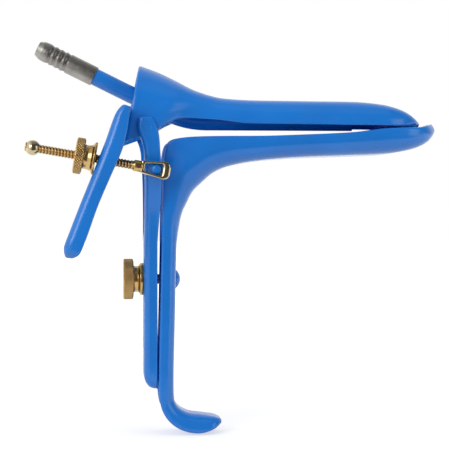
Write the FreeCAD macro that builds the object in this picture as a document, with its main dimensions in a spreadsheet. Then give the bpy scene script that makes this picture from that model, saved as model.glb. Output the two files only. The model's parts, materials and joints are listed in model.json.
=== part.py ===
"""Bivalve vaginal speculum, Graves pattern, coated, with smoke tube.

Frame: +X runs along the blades away from the hinge, +Z is up, -Y is the side that carries the
thumb lever. The origin is on the hinge axis, midway between the two pivots. Millimetres.
"""
import FreeCAD, Part
import math
import os
import re
import Sketcher

Vector = FreeCAD.Vector
X_AXIS = Vector(1, 0, 0)
Y_AXIS = Vector(0, 1, 0)
Z_AXIS = Vector(0, 0, 1)

doc = FreeCAD.newDocument("bivalve_speculum")

# Driving sizes, in millimetres and degrees

SIZES = {
    "sheet_thickness": 1.6,
    # upper blade
    "upper_reach": 109.2,
    "upper_crest_height": 10.9,
    "upper_rim_height": 1.35,
    "tip_gap": 0.4,
    "blade_half_width": 17.4,
    "throat_half_width": 13.7,
    "throat_place": 27.0,
    "belly_setback": 18.0,
    "flare_half_width": 19.0,
    "flare_crest_height": 24.7,
    "flare_back": 8.4,
    "flare_rake": 5.9,
    "rim_arch": 2.2,
    "lug_drop": 6.1,
    # lower blade, handle and foot
    "lower_reach": 115.4,
    "lower_crest_drop": 11.2,
    "lower_rim_drop": 3.1,
    "lower_tip_rise": 2.3,
    "lower_belly_setback": 22.0,
    "bend_place": 44.0,
    "handle_front": 12.1,
    "handle_depth": 6.1,
    "handle_half_width": 9.5,
    "handle_lean": 1.3,
    "handle_top": 45.0,
    "foot_start": 103.9,
    "foot_radius": 15.45,
    "foot_depth": 7.4,
    # yoke
    "yoke_depth": 5.3,
    "yoke_half_width": 9.3,
    "yoke_gap": 1.45,
    "yoke_bottom": 101.3,
    "arm_fork": 42.0,
    "arm_lip": 2.9,
    "ear_top": 3.8,
    "ear_clearance": 0.3,
    # hinge rivets
    "rivet_radius": 1.6,
    "rivet_head_radius": 2.7,
    "rivet_head_height": 1.1,
    "pin_clearance": 0.05,
    # thumb lever
    "lever_half_width": 6.5,
    "lever_depth": 6.5,
    "lever_angle": 23.7,
    "lever_top": 7.6,
    "lever_foot_setback": 26.9,
    "lever_foot_drop": 51.3,
    "lever_slot_length": 11.0,
    "lever_slot_below": 3.6,
    "lever_slot_clearance": 0.5,
    # angle screw, nut and ball
    "screw_side": 22.6,
    "screw_angle": 9.75,
    "screw_radius": 1.75,
    "screw_length": 47.1,
    "lug_place": 3.6,
    "lug_height": 16.35,
    "lug_radius": 1.9,
    "lug_collar_radius": 2.9,
    "loop_thickness": 2.8,
    "loop_clearance": 0.3,
    "loop_back": 6.2,
    "loop_front": 5.3,
    "loop_back_height": 4.6,
    "loop_front_height": 7.0,
    "loop_end_wall": 3.1,
    "loop_neck_wall": 1.8,
    "loop_corner": 2.3,
    "window_corner": 0.5,
    "shoulder_length": 2.3,
    "shoulder_radius": 2.15,
    "ball_radius": 2.9,
    "angle_nut_radius": 6.85,
    "angle_nut_grip": 3.4,
    "angle_nut_neck_radius": 4.6,
    "angle_nut_length": 7.9,
    "angle_nut_flange_radius": 6.2,
    "angle_nut_gap": 0.3,
    # height bolt and nut
    "bolt_drop": 58.9,
    "bolt_radius": 1.95,
    "bolt_head_radius": 3.85,
    "bolt_head_height": 1.9,
    "bolt_square": 4.0,
    "bolt_seat_gap": 0.1,
    "bolt_end_setback": 1.0,
    "slot_clearance": 0.25,
    "height_travel": 25.0,
    "height_nut_radius": 8.05,
    "height_nut_grip": 4.1,
    "height_nut_neck_radius": 5.2,
    "height_nut_neck": 2.2,
    "height_nut_flange": 1.5,
    "height_nut_flange_radius": 6.4,
    "nut_seat_gap": 0.15,
    "nut_edge": 0.4,
    # smoke tube and hose barb
    "tube_radius": 3.35,
    "tube_bore_radius": 2.45,
    "tube_height": 2.9,
    "tube_end": 82.0,
    "tube_slope": 26.2,
    "tube_bend_place": 15.8,
    "tube_bend_radius": 36.0,
    "barb_place": 39.7,
    "barb_sleeve_radius": 3.85,
    "barb_sleeve_length": 11.4,
    "barb_root_radius": 3.45,
    "barb_pitch": 2.3,
    "barb_ridges": 4,
    "barb_nose_length": 4.1,
    "barb_nose_radius": 2.75,
    "barb_socket_depth": 9.0,
    "tube_end_gap": 0.2,
    "socket_clearance": 0.03,
    "saddle_length": 6.0,
    "saddle_half_width": 2.2,
    "saddle_front_place": 72.0,
    "saddle_rear_place": 36.0,
}

sheet = doc.addObject("Spreadsheet::Sheet", "sizes")
for row, (alias, number) in enumerate(SIZES.items(), start=1):
    sheet.set("A%d" % row, alias)
    sheet.set("B%d" % row, str(number))
    sheet.setAlias("B%d" % row, alias)
doc.recompute()


def size(alias):
    """Current value of one cell of the sheet."""
    return float(sheet.get(alias))


def cells(expression):
    """Expression with each alias written as a cell of the sheet."""
    return re.sub(r"[a-z][a-z_]+", lambda m: "sizes." + m[0] if m[0] in SIZES else m[0], expression)


def evaluate(expression):
    """Number that an expression of the sheet gives now."""
    return float(sheet.evalExpression(cells(expression)))


def bind(item, **expressions):
    """Tie properties of a document object to expressions of the sheet's cells."""
    for name, expression in expressions.items():
        item.setExpression(name, cells(expression))


# Places that follow from the sizes

EAR_OUTER = "(flare_half_width + ear_clearance + sheet_thickness)"
THROUGH_START = "-1.3 * flare_half_width"
THROUGH_LENGTH = "2.6 * flare_half_width"
HANDLE_FACE = "(handle_front - handle_lean * (bolt_drop - handle_top) / (foot_start - handle_top))"
YOKE_RIM = "(handle_front - handle_depth - yoke_gap)"
YOKE_BACK = "(" + YOKE_RIM + " - yoke_depth)"
NUT_LENGTH = "(height_nut_grip + height_nut_neck + height_nut_flange)"
NUT_FACE = "(" + YOKE_BACK + " - nut_seat_gap)"
TUBE_TURN = "tan(tube_slope / 2) * tube_bend_radius"
TUBE_RUN = "(barb_place + barb_socket_depth - tube_end_gap)"
LEVER_BACK_X = "(-lever_foot_setback - cos(lever_angle) * lever_depth)"
LEVER_BACK_Z = "(-lever_foot_drop + sin(lever_angle) * lever_depth)"
LEVER_RUN = ("((-lug_height - " + LEVER_BACK_Z + " - (" + LEVER_BACK_X + " - lug_place)"
             + " * tan(screw_angle)) / (cos(lever_angle) + sin(lever_angle) * tan(screw_angle)))")
LEVER_CROSSING = ("((lug_place - " + LEVER_BACK_X + " - " + LEVER_RUN
                  + " * sin(lever_angle)) / cos(screw_angle))")
NUT_PLACE = ("(" + LEVER_CROSSING + " + tan(lever_angle - screw_angle) * angle_nut_flange_radius"
             + " + angle_nut_gap)")

# Height of the arms' waypoints as shares of the fork's drop, and how far they have spread there

ARM_LEVEL = (0.81, 0.571, 0.357, 0.195)
ARM_SPREAD = (0.19, 0.52, 0.83)

# Formed sheet: a channel section lofted from station to station

SHORT_STEP = 3.2
MOST_STEPS = 2


def between(start, end, share):
    """Value a share of the way from start to end."""
    return start + (end - start) * share


def channel_wire(rim, crest, half_width, corner):
    """Closed outline of a channel whose rims pass through rim and whose back passes through crest.

    rim and crest are (x, z) pairs in the plane of symmetry. The walls run parallel to the line from
    rim to crest, the back runs across it, and both rims are round.
    """
    thickness = size("sheet_thickness")
    base = Vector(rim[0], 0, rim[1])
    down = Vector(crest[0] - rim[0], 0, crest[1] - rim[1])
    depth = down.Length
    down.normalize()
    cap = thickness / 2
    corner = max(1.08 * thickness, min(corner, depth - cap - 0.05 * thickness, half_width - thickness))
    inner = corner - thickness
    slant = math.sqrt(0.5)

    def at(across, deep):
        return base + Y_AXIS * across + down * deep

    def corner_arc(side, radius):
        centre = side * (half_width - corner)
        start = at(centre + side * radius, depth - corner)
        middle = at(centre + side * radius * slant, depth - corner + radius * slant)
        end = at(centre, depth - corner + radius)
        return start, middle, end

    def rim_cap(side):
        outer_end = at(side * half_width, cap)
        inner_end = at(side * (half_width - thickness), cap)
        return outer_end, at(side * (half_width - cap), 0), inner_end

    right_outer, right_top, right_inner = rim_cap(-1)
    left_outer, left_top, left_inner = rim_cap(1)
    ro1, ro2, ro3 = corner_arc(-1, corner)
    lo1, lo2, lo3 = corner_arc(1, corner)
    ri1, ri2, ri3 = corner_arc(-1, inner)
    li1, li2, li3 = corner_arc(1, inner)
    edges = [
        Part.LineSegment(right_outer, ro1),
        Part.Arc(ro1, ro2, ro3),
        Part.LineSegment(ro3, lo3),
        Part.Arc(lo3, lo2, lo1),
        Part.LineSegment(lo1, left_outer),
        Part.Arc(left_outer, left_top, left_inner),
        Part.LineSegment(left_inner, li1),
        Part.Arc(li1, li2, li3),
        Part.LineSegment(li3, ri3),
        Part.Arc(ri3, ri2, ri1),
        Part.LineSegment(ri1, right_inner),
        Part.Arc(right_inner, right_top, right_outer),
    ]
    return Part.Wire([edge.toShape() for edge in edges])


def divided_places(places):
    """The given places with the longer stretches between them divided evenly."""
    result = [places[0]]
    for start, end in zip(places, places[1:]):
        count = min(MOST_STEPS, max(1, round((end - start) / SHORT_STEP)))
        result += [start + (end - start) * index / count for index in range(1, count + 1)]
    return result


def smooth_slopes(places, values):
    """Slope at each place of a curve through the values that never swings past them."""
    steps = [places[i + 1] - places[i] for i in range(len(places) - 1)]
    rates = [(values[i + 1] - values[i]) / steps[i] for i in range(len(steps))]
    slopes = [rates[0]]
    for before, after in zip(rates, rates[1:]):
        slopes.append(2 * before * after / (before + after) if before * after > 0 else 0.0)
    return slopes + [rates[-1]]


def smooth_value(places, values, slopes, place):
    """Value of that curve at one place."""
    index = max(i for i in range(len(places) - 1) if places[i] <= place + 1e-9)
    step = places[index + 1] - places[index]
    share = (place - places[index]) / step
    keep = (1 + 2 * share) * (1 - share) ** 2
    reach = share ** 2 * (3 - 2 * share)
    lead = share * (1 - share) ** 2 * step
    trail = share ** 2 * (share - 1) * step
    return (keep * values[index] + reach * values[index + 1]
            + lead * slopes[index] + trail * slopes[index + 1])


def even_stations(stations):
    """Given stations and smooth ones between them, so that the loft follows a curve."""
    places = [0.0]
    for (rim_a, crest_a, *_), (rim_b, crest_b, *_) in zip(stations, stations[1:]):
        along = math.hypot(rim_b[0] + crest_b[0] - rim_a[0] - crest_a[0],
                           rim_b[1] + crest_b[1] - rim_a[1] - crest_a[1]) / 2
        places.append(places[-1] + along)
    rows = list(zip(*[(*rim, *crest, half, corner) for rim, crest, half, corner in stations]))
    curves = [(row, smooth_slopes(places, row)) for row in rows]
    result = []
    for place in divided_places(places):
        rim_x, rim_z, crest_x, crest_z, half, corner = [
            smooth_value(places, row, slopes, place) for row, slopes in curves]
        result.append(((rim_x, rim_z), (crest_x, crest_z), half, corner))
    return result


def station(rim_x, rim_z, crest_x, crest_z, half_width, roundness):
    """One station of a sheet, whose corner radius is a share of its half width."""
    return (rim_x, rim_z), (crest_x, crest_z), half_width, roundness * half_width


def formed_sheet(name, stations):
    """Blank of one formed sheet, lofted straight from each of its stations to the next."""
    wires = [channel_wire(*station) for station in even_stations(stations)]
    blank = doc.addObject("Part::Feature", name + "_blank")
    blank.Shape = Part.makeLoft(wires, True, True)
    return blank


def upper_blade_stations():
    """Flared mouth with hinge lugs, waisted throat, blade and spoon tip."""
    reach = size("upper_reach")
    top = size("upper_crest_height")
    rim = size("upper_rim_height")
    wide = size("blade_half_width")
    throat = size("throat_half_width")
    throat_x = size("throat_place")
    setback = size("belly_setback")
    belly_x = reach - setback
    flare = size("flare_half_width")
    flare_top = size("flare_crest_height")
    back = -size("flare_back")
    drop = -size("lug_drop")
    arch = size("rim_arch")
    tip_rim = 0.13 * size("lower_tip_rise") + size("tip_gap")
    tip_crest = tip_rim + 1.28 * size("sheet_thickness")
    mid_x = between(throat_x, belly_x, 0.5)
    run = throat_x - back
    lift = rim - drop
    rise = flare_top - top
    return [
        station(back, drop, back + size("flare_rake"), flare_top, flare, 0.89),
        station(back + 0.13 * run, drop + 0.23 * lift, back + 0.395 * run, top + 0.78 * rise, flare, 0.84),
        station(back + 0.294 * run, drop + 0.51 * lift, back + 0.588 * run, top + 0.53 * rise,
                between(throat, flare, 0.985), 0.75),
        station(back + 0.469 * run, rim + 0.1 * arch, back + 0.74 * run, top + 0.32 * rise,
                between(throat, flare, 0.65), 0.67),
        station(back + 0.633 * run, rim + arch, back + 0.893 * run, top + 0.18 * rise,
                between(throat, flare, 0.28), 0.625),
        station(throat_x, rim + 0.73 * arch, throat_x + 0.085 * run, top + 0.07 * rise, throat, 0.606),
        station(throat_x + 0.367 * run, rim + 0.1 * arch, throat_x + 0.395 * run, top + 0.02 * rise,
                1.007 * throat, 0.594),
        station(mid_x, rim, mid_x + 0.014 * run, top, between(throat, wide, 0.35), 0.56),
        station(belly_x - 0.556 * setback, 0.75 * rim, belly_x - 0.528 * setback, 0.97 * top,
                0.989 * wide, 0.517),
        station(belly_x, 1.385 * tip_rim, belly_x + 0.044 * setback, 0.875 * top, wide, 0.483),
        station(reach - 0.6 * setback, tip_rim, reach - 0.511 * setback, 0.683 * top, 0.9 * wide, 0.409),
        station(reach - 0.328 * setback, tip_rim, reach - 0.239 * setback, 0.44 * top, 0.7 * wide, 0.345),
        station(reach - 0.161 * setback, tip_rim, reach - 0.089 * setback, 0.26 * top, 0.46 * wide, 0.3),
        station(reach - 0.094 * setback, tip_rim, reach, tip_crest, 0.17 * wide, 0.676),
    ]


def lower_blade_stations():
    """Spoon tip, blade, bend, channelled handle and curled foot in one strip."""
    reach = size("lower_reach")
    under = -size("lower_crest_drop")
    rim = -size("lower_rim_drop")
    wide = size("blade_half_width")
    throat = size("throat_half_width")
    setback = size("lower_belly_setback")
    belly_x = reach - setback
    rise = size("lower_tip_rise")
    front = size("handle_front")
    deep = size("handle_depth")
    half = size("handle_half_width")
    lean = size("handle_lean")
    bend_x = size("bend_place")
    span = bend_x - front
    foot_z = -size("foot_start")
    handle_z = -size("handle_top")
    blade = [
        station(reach - 0.082 * setback, rise, reach, 0, 0.2 * wide, 0.575),
        station(reach - 0.195 * setback, 0.66 * rise, reach - 0.1 * setback, 0.28 * under,
                0.56 * wide, 0.39),
        station(reach - 0.373 * setback, 0.26 * rise, reach - 0.305 * setback, 0.575 * under,
                0.79 * wide, 0.437),
        station(reach - 0.636 * setback, 0.13 * rise, reach - 0.585 * setback, 0.75 * under,
                0.94 * wide, 0.452),
        station(belly_x, 0, belly_x + 0.027 * setback, 0.87 * under, wide, 0.483),
        station(belly_x - 0.636 * setback, 0.55 * rim, belly_x - 0.636 * setback, 0.93 * under, wide, 0.448),
        station(between(belly_x, bend_x, 0.648), 0.824 * rim, between(belly_x, bend_x, 0.648), 0.99 * under,
                between(throat, wide, 0.6), 0.465),
    ]
    bend = []
    for rim_x, rim_fall, crest_x, crest_fall, width, roundness in (
            (bend_x, 0, 1.019, 0.0355, 1.238, 0.517),
            (front + 0.53 * span, 0.0024, 0.624, 0.1065, 1.119, 0.634),
            (front + 0.967 * deep, 0.0096, 0.442, 0.183, 1.095, 0.723),
            (front - 0.6 * deep, 0.05, 0.3135, 0.29, 1, 0.774),
            (front - 0.9 * deep, 0.23, 0.205, 0.388, 0.714, 0.752),
            (front - 0.93 * deep, 0.4375, 0.135, 0.512, 0.429, 0.708),
            (front - 0.94 * deep, 0.61, 0.065, 0.65, 0.214, 0.596),
            (front - 0.984 * deep, 0.808, 0.031, 0.793, 0.095, 0.525)):
        bend.append(station(rim_x, between(rim, handle_z, rim_fall),
                            front + crest_x * span, between(under, handle_z, crest_fall),
                            between(half, throat, width), roundness))
    handle = []
    for share in (0, 0.45, 0.93):
        x = between(front, front - lean, share)
        z = between(handle_z, foot_z, share)
        handle.append(station(x - deep * (1 - 0.033 * share), z, x, z, half, 0.787 * deep / half))
    radius = size("foot_radius")
    back = front - lean - 0.918 * deep
    foot = []
    for angle, share, width in ((12, 0.78, 1), (32, 0.84, 1), (52, 0.95, 0.99), (72, 1, 0.98), (92, 0.98, 0.947),
                                (108, 0.84, 0.863), (118, 0.62, 0.747), (124, 0.44, 0.58)):
        turn = math.radians(angle)
        length = size("foot_depth") * share
        arm_x = -math.cos(turn)
        arm_z = -math.sin(turn)
        rim_x = back + radius + radius * arm_x
        rim_z = foot_z + radius * arm_z
        foot.append(station(rim_x, rim_z, rim_x - length * arm_x, rim_z - length * arm_z,
                            width * half, 0.82 * length / (width * half)))
    return blade + bend + handle + foot


def yoke_stations():
    """Channelled slide that widens upward into the two arms and their ears."""
    rim = evaluate(YOKE_RIM)
    back = evaluate(YOKE_BACK)
    deep = size("yoke_depth")
    half = size("yoke_half_width")
    ear = evaluate(EAR_OUTER)
    bottom = -size("yoke_bottom")
    fork = -size("arm_fork")
    top = size("ear_top")
    middle = between(bottom, fork, 0.5)
    low_arm = between(half, ear, ARM_SPREAD[0])
    mid_arm = between(half, ear, ARM_SPREAD[1])
    high_arm = between(half, ear, ARM_SPREAD[2])
    return [
        station(rim + 0.02 * deep, bottom, back + 0.434 * deep, bottom + 0.075 * deep, 0.763 * half, 0.31),
        station(rim, bottom + 0.283 * deep, back + 0.094 * deep, bottom + 0.472 * deep, 0.946 * half, 0.386),
        station(rim, bottom + 0.943 * deep, back, bottom + 1.132 * deep, half, 0.441),
        station(rim, middle, back, middle, half, 0.441),
        station(rim, fork - 0.566 * deep, back, fork - 0.566 * deep, 1.02 * half, 0.432),
        station(rim + 0.02 * deep, ARM_LEVEL[0] * fork, back + 0.03 * deep, ARM_LEVEL[0] * fork,
                low_arm, 0.774 * deep / low_arm),
        station(rim + 0.057 * deep, ARM_LEVEL[1] * fork, back + 0.03 * deep, ARM_LEVEL[1] * fork,
                mid_arm, 0.736 * deep / mid_arm),
        station(rim + 0.094 * deep, ARM_LEVEL[2] * fork, back - 0.02 * deep, ARM_LEVEL[2] * fork,
                high_arm, 0.68 * deep / high_arm),
        station(rim + 0.094 * deep, 0.202 * fork, back - 0.12 * deep, 0.19 * fork, ear, 0.604 * deep / ear),
        station(rim + 0.02 * deep, 0.048 * fork, back - 0.377 * deep, 0.038 * fork, ear, 0.566 * deep / ear),
        station(rim - 0.49 * deep, top, back - 0.49 * deep, top - 0.057 * deep, ear, 0.566 * deep / ear),
    ]


def lever_stations():
    """Channelled thumb lever, from its rounded lower end up to the flare."""
    half = size("lever_half_width")
    deep = size("lever_depth")
    angle = math.radians(size("lever_angle"))
    foot_x = -size("lever_foot_setback")
    foot_z = -size("lever_foot_drop")
    top = size("lever_top")
    back = -size("flare_back")
    length = (top / 20 - foot_z) / math.cos(angle)
    stations = []
    for run, depth, width, roundness, shift in (
            (0, 0.47, 0.66, 0.42, -0.06), (0.37 * deep, 0.92, 0.94, 0.64, -0.08),
            (deep, 1.075, 1, 0.69, -0.075), (0.355 * length, 1.03, 1, 0.69, -0.015),
            (0.66 * length, 0.99, 1, 0.677, 0), (0.884 * length, 0.99, 0.985, 0.656, 0.046)):
        rim_x = foot_x + math.sin(angle) * run - math.cos(angle) * shift * deep
        rim_z = foot_z + math.cos(angle) * run + math.sin(angle) * shift * deep
        stations.append(station(rim_x, rim_z, rim_x - math.cos(angle) * depth * deep,
                                rim_z + math.sin(angle) * depth * deep, width * half, roundness))
    return stations + [
        station(back + 0.215 * deep, 0.053 * top, back - 0.62 * deep, 0.23 * top, 0.938 * half, 0.557),
        station(back + 0.308 * deep, 0.684 * top, back - 0.3 * deep, 0.8 * top, 0.877 * half, 0.404),
        station(back + 0.338 * deep, top, back - 0.077 * deep, 1.066 * top, 0.815 * half, 0.35),
    ]


# Part primitives used as tools and small pieces


def cylinder(name, radius, height, place, turn=None):
    """Cylinder whose radius, height and place are expressions."""
    item = doc.addObject("Part::Cylinder", name)
    bind(item, Radius=radius, Height=height)
    set_place(item, place, turn)
    return item


def box(name, length, width, height, place, turn=None):
    """Box whose lengths and place are expressions."""
    item = doc.addObject("Part::Box", name)
    bind(item, Length=length, Width=width, Height=height)
    set_place(item, place, turn)
    return item


def set_place(item, place, turn=None):
    """Place from three expressions, and turn from a fixed rotation."""
    if turn is not None:
        item.Placement = FreeCAD.Placement(Vector(0, 0, 0), turn)
    for axis, expression in zip("xyz", place):
        item.setExpression("Placement.Base." + axis, cells(expression))


def boolean(kind, name, base, tool):
    """Part::Cut, Part::Fuse or Part::Common of two objects."""
    item = doc.addObject("Part::" + kind, name)
    item.Base = base
    item.Tool = tool
    return item


def cut_all(name, base, tools):
    """Base with each tool cut away in turn; the last cut carries the name."""
    for index, tool in enumerate(tools):
        last = index == len(tools) - 1
        base = boolean("Cut", name if last else "%s_cut_%d" % (name, index), base, tool)
    return base


ALONG_X = FreeCAD.Rotation(Y_AXIS, 90)
ALONG_Y = FreeCAD.Rotation(X_AXIS, -90)


# Sketches whose points are tied to the sheet


def plane_of(body, role):
    """Origin plane or axis of a body, found by its role."""
    return next(feature for feature in body.Origin.OriginFeatures if feature.Role == role)


def sketch_on(body, name, role, offset=None):
    """Sketch on one origin plane of its own body, moved along its normal by an expression."""
    sketch = body.newObject("Sketcher::SketchObject", name)
    sketch.AttachmentSupport = [(plane_of(body, role), "")]
    sketch.MapMode = "FlatFace"
    if offset is not None:
        sketch.setExpression("AttachmentOffset.Base.z", cells(offset))
    return sketch


def tie(sketch, index, point, expressions):
    """Hold one point of a sketch at two expressions, measured from the sketch's origin."""
    for kind, expression in zip(("DistanceX", "DistanceY"), expressions):
        hold(sketch, kind, index, point, expression)


def hold(sketch, kind, index, point, expression):
    """Hold one point of a sketch at one distance from the sketch's origin."""
    number = evaluate(expression)
    constraint = sketch.addConstraint(Sketcher.Constraint(kind, -1, 1, index, point, number))
    sketch.setExpression("Constraints[%d]" % constraint, cells(expression))


def outline(sketch, corners):
    """Closed outline of straight lines through corners given as pairs of expressions."""
    points = [Vector(evaluate(a), evaluate(b), 0) for a, b in corners]
    count = len(points)
    for index in range(count):
        sketch.addGeometry(Part.LineSegment(points[index], points[(index + 1) % count]), False)
    for index in range(count):
        after = (index + 1) % count
        sketch.addConstraint(Sketcher.Constraint("Coincident", index, 2, after, 1))
    for index in range(count):
        tie(sketch, index, 1, corners[index])


def turned(name, corners):
    """Body turned about its own X axis from an outline on its XZ plane."""
    body = doc.addObject("PartDesign::Body", name)
    sketch = sketch_on(body, name + "_outline", "XZ_Plane")
    outline(sketch, corners)
    feature = body.newObject("PartDesign::Revolution", name + "_turning")
    feature.Profile = sketch
    feature.ReferenceAxis = (plane_of(body, "X_Axis"), [""])
    feature.Angle = 360
    return body


# Upper blade with its lugs, tube, barb, saddles and thumb lever

def make_upper_blade():
    """Upper blade with the two hinge holes through its lugs."""
    blank = formed_sheet("upper_blade", upper_blade_stations())
    hole = cylinder("upper_hinge_hole", "rivet_radius + pin_clearance", THROUGH_LENGTH,
                    ("0", THROUGH_START, "0"), ALONG_Y)
    return cut_all("upper_blade", blank, [hole])


def make_thumb_lever(upper_blade):
    """Thumb lever with its screw slot, notched round the wall of the flare that it is brazed to."""
    blank = formed_sheet("thumb_lever", lever_stations())
    side = size("screw_side")
    blank.Placement.Base = Vector(0, -side, 0)
    blank.setExpression("Placement.Base.y", cells("-screw_side"))
    web = lever_slot_point()
    slot = doc.addObject("PartDesign::Body", "lever_slot_tool")
    sketch = sketch_on(slot, "lever_slot_outline", "YZ_Plane")
    slot_outline(sketch, "lever_slot_length", "screw_radius + lever_slot_clearance")
    pad = slot.newObject("PartDesign::Pad", "lever_slot_pad")
    pad.Profile = sketch
    pad.Midplane = True
    bind(pad, Length="2 * lever_depth")
    slot.Placement = FreeCAD.Placement(Vector(web[0], -side, web[1]),
                                       FreeCAD.Rotation(Y_AXIS, size("lever_angle")))
    slot.setExpression("Placement.Base.y", cells("-screw_side"))
    return cut_all("thumb_lever", blank, [slot, upper_blade])


def lever_slot_point():
    """Middle of the slot: where the screw's axis meets the lever's back, moved up the lever."""
    lean = math.radians(size("lever_angle"))
    run = evaluate(LEVER_RUN) + size("lever_slot_length") / 2 - size("lever_slot_below")
    return (evaluate(LEVER_BACK_X) + run * math.sin(lean),
            evaluate(LEVER_BACK_Z) + run * math.cos(lean))


def slot_outline(sketch, length, half_width):
    """Upright slot with round ends about the sketch's origin."""
    half = evaluate(half_width)
    straight = evaluate(length) / 2 - half
    up = Vector(0, straight, 0)
    left = sketch.addGeometry(Part.LineSegment(Vector(-half, straight, 0), Vector(-half, -straight, 0)))
    top_circle = Part.Circle(up, Z_AXIS, half)
    top = sketch.addGeometry(Part.ArcOfCircle(top_circle, 0, math.pi))
    right = sketch.addGeometry(Part.LineSegment(Vector(half, -straight, 0), Vector(half, straight, 0)))
    low_circle = Part.Circle(Vector(0, -straight, 0), Z_AXIS, half)
    low = sketch.addGeometry(Part.ArcOfCircle(low_circle, math.pi, 2 * math.pi))
    for first, first_end, second, second_end in ((top, 1, right, 2), (top, 2, left, 1),
                                                 (low, 1, left, 2), (low, 2, right, 1)):
        sketch.addConstraint(Sketcher.Constraint("Coincident", first, first_end, second, second_end))
    top_level = "(%s) / 2 - (%s)" % (length, half_width)
    low_level = "-(%s)" % top_level
    tie(sketch, left, 1, ("-(%s)" % half_width, top_level))
    tie(sketch, left, 2, ("-(%s)" % half_width, low_level))
    tie(sketch, right, 1, (half_width, low_level))
    tie(sketch, right, 2, (half_width, top_level))
    for arc, level in ((top, top_level), (low, low_level)):
        hold(sketch, "DistanceY", arc, 3, level)


def make_smoke_tube():
    """Tube that runs level under the roof of the blade and bends up out of the flare.

    Its own X axis points rearward from the open end, so the body is turned half round.
    """
    body = doc.addObject("PartDesign::Body", "smoke_tube")
    path = sketch_on(body, "smoke_tube_path", "XZ_Plane")
    turn = math.radians(size("tube_slope"))
    radius = size("tube_bend_radius")
    tangent = radius * math.tan(turn / 2)
    corner = Vector(size("tube_end") - size("tube_bend_place"), size("tube_height"), 0)
    onward = Vector(math.cos(turn), math.sin(turn), 0)
    start = Vector(0, size("tube_height"), 0)
    first = corner - Vector(tangent, 0, 0)
    last = corner + onward * tangent
    centre = first + Vector(0, radius, 0)
    middle = centre + Vector(math.sin(turn / 2), -math.cos(turn / 2), 0) * radius
    finish = corner + onward * evaluate(TUBE_RUN)
    level = path.addGeometry(Part.LineSegment(start, first))
    arc = path.addGeometry(Part.Arc(first, middle, last))
    slope = path.addGeometry(Part.LineSegment(last, finish))
    tie(path, level, 1, ("0", "tube_height"))
    arc_start, arc_end = arc_ends(path, arc, first)
    path.addConstraint(Sketcher.Constraint("Tangent", level, 2, arc, arc_start))
    path.addConstraint(Sketcher.Constraint("Tangent", arc, arc_end, slope, 1))
    tie(path, level, 2, ("tube_end - tube_bend_place - " + TUBE_TURN, "tube_height"))
    tie(path, slope, 2, ("tube_end - tube_bend_place + cos(tube_slope) * " + TUBE_RUN,
                         "tube_height + sin(tube_slope) * " + TUBE_RUN))
    constraint = path.addConstraint(Sketcher.Constraint("Radius", arc, radius))
    path.setExpression("Constraints[%d]" % constraint, cells("tube_bend_radius"))
    for kind, radius_name in (("Additive", "tube_radius"), ("Subtractive", "tube_bore_radius")):
        profile = sketch_on(body, "smoke_tube_" + radius_name, "YZ_Plane")
        circle = Part.Circle(Vector(0, size("tube_height"), 0), Z_AXIS, size(radius_name))
        index = profile.addGeometry(circle)
        tie(profile, index, 3, ("0", "tube_height"))
        constraint = profile.addConstraint(Sketcher.Constraint("Radius", index, size(radius_name)))
        profile.setExpression("Constraints[%d]" % constraint, cells(radius_name))
        pipe = body.newObject("PartDesign::%sPipe" % kind, "smoke_tube_%s_pipe" % kind.lower())
        pipe.Profile = profile
        pipe.Spine = path
        doc.recompute()
    body.Placement = FreeCAD.Placement(Vector(0, 0, 0), FreeCAD.Rotation(Z_AXIS, 180))
    set_place(body, ("tube_end", "0", "0"))
    return body


def arc_ends(sketch, index, first):
    """Numbers of an arc's two ends, the one at first named first."""
    arc = sketch.Geometry[index]
    return (1, 2) if arc.StartPoint.distanceToPoint(first) < 1e-6 else (2, 1)


def barb_outline():
    """Half outline of the hose barb: socket, sleeve, ridges, nose and bore, from front to rear."""
    wall = "tube_radius + socket_clearance"
    corners = [("0", wall), ("0", "barb_sleeve_radius"), ("barb_sleeve_length", "barb_sleeve_radius")]
    for ridge in range(int(size("barb_ridges"))):
        start = "barb_sleeve_length + %d * barb_pitch" % ridge
        corners.append((start + " + 0.04 * barb_pitch", "barb_root_radius"))
        corners.append((start + " + 0.35 * barb_pitch", "barb_root_radius"))
        corners.append((start + " + 0.65 * barb_pitch", "barb_sleeve_radius"))
        corners.append((start + " + 0.95 * barb_pitch", "barb_sleeve_radius"))
    nose = "barb_sleeve_length + barb_ridges * barb_pitch"
    corners += [
        (nose + " + 0.1 * barb_nose_length", "barb_sleeve_radius"),
        (nose + " + 0.5 * barb_nose_length", "0.96 * barb_sleeve_radius"),
        (nose + " + barb_nose_length", "barb_nose_radius"),
        (nose + " + barb_nose_length", "tube_bore_radius"),
        ("barb_socket_depth", "tube_bore_radius"),
        ("barb_socket_depth", wall),
    ]
    return corners


def make_hose_barb():
    """Hose barb turned from bar, its socket over the end of the tube."""
    body = turned("hose_barb", barb_outline())
    slope = size("tube_slope")
    body.Placement = FreeCAD.Placement(Vector(0, 0, 0), FreeCAD.Rotation(Y_AXIS, 180 + slope))
    body.setExpression("Placement.Base.x", cells("tube_bend_place - cos(tube_slope) * barb_place"))
    body.setExpression("Placement.Base.z", cells("tube_height + sin(tube_slope) * barb_place"))
    return body


def make_saddle(name, place, upper_blade):
    """Brazed block between the tube and the roof of the blade, cut to both."""
    block = box(name + "_block", "saddle_length", "2 * saddle_half_width",
                "upper_crest_height - 0.5 * sheet_thickness - tube_height",
                (place, "-saddle_half_width", "tube_height"))
    tube = cylinder(name + "_tube_room", "tube_radius", "1.4 * saddle_length",
                    (place + " - 0.2 * saddle_length", "0", "tube_height"), ALONG_X)
    return cut_all(name, block, [tube, upper_blade])


# Lower blade, height bolt and height nut


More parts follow.
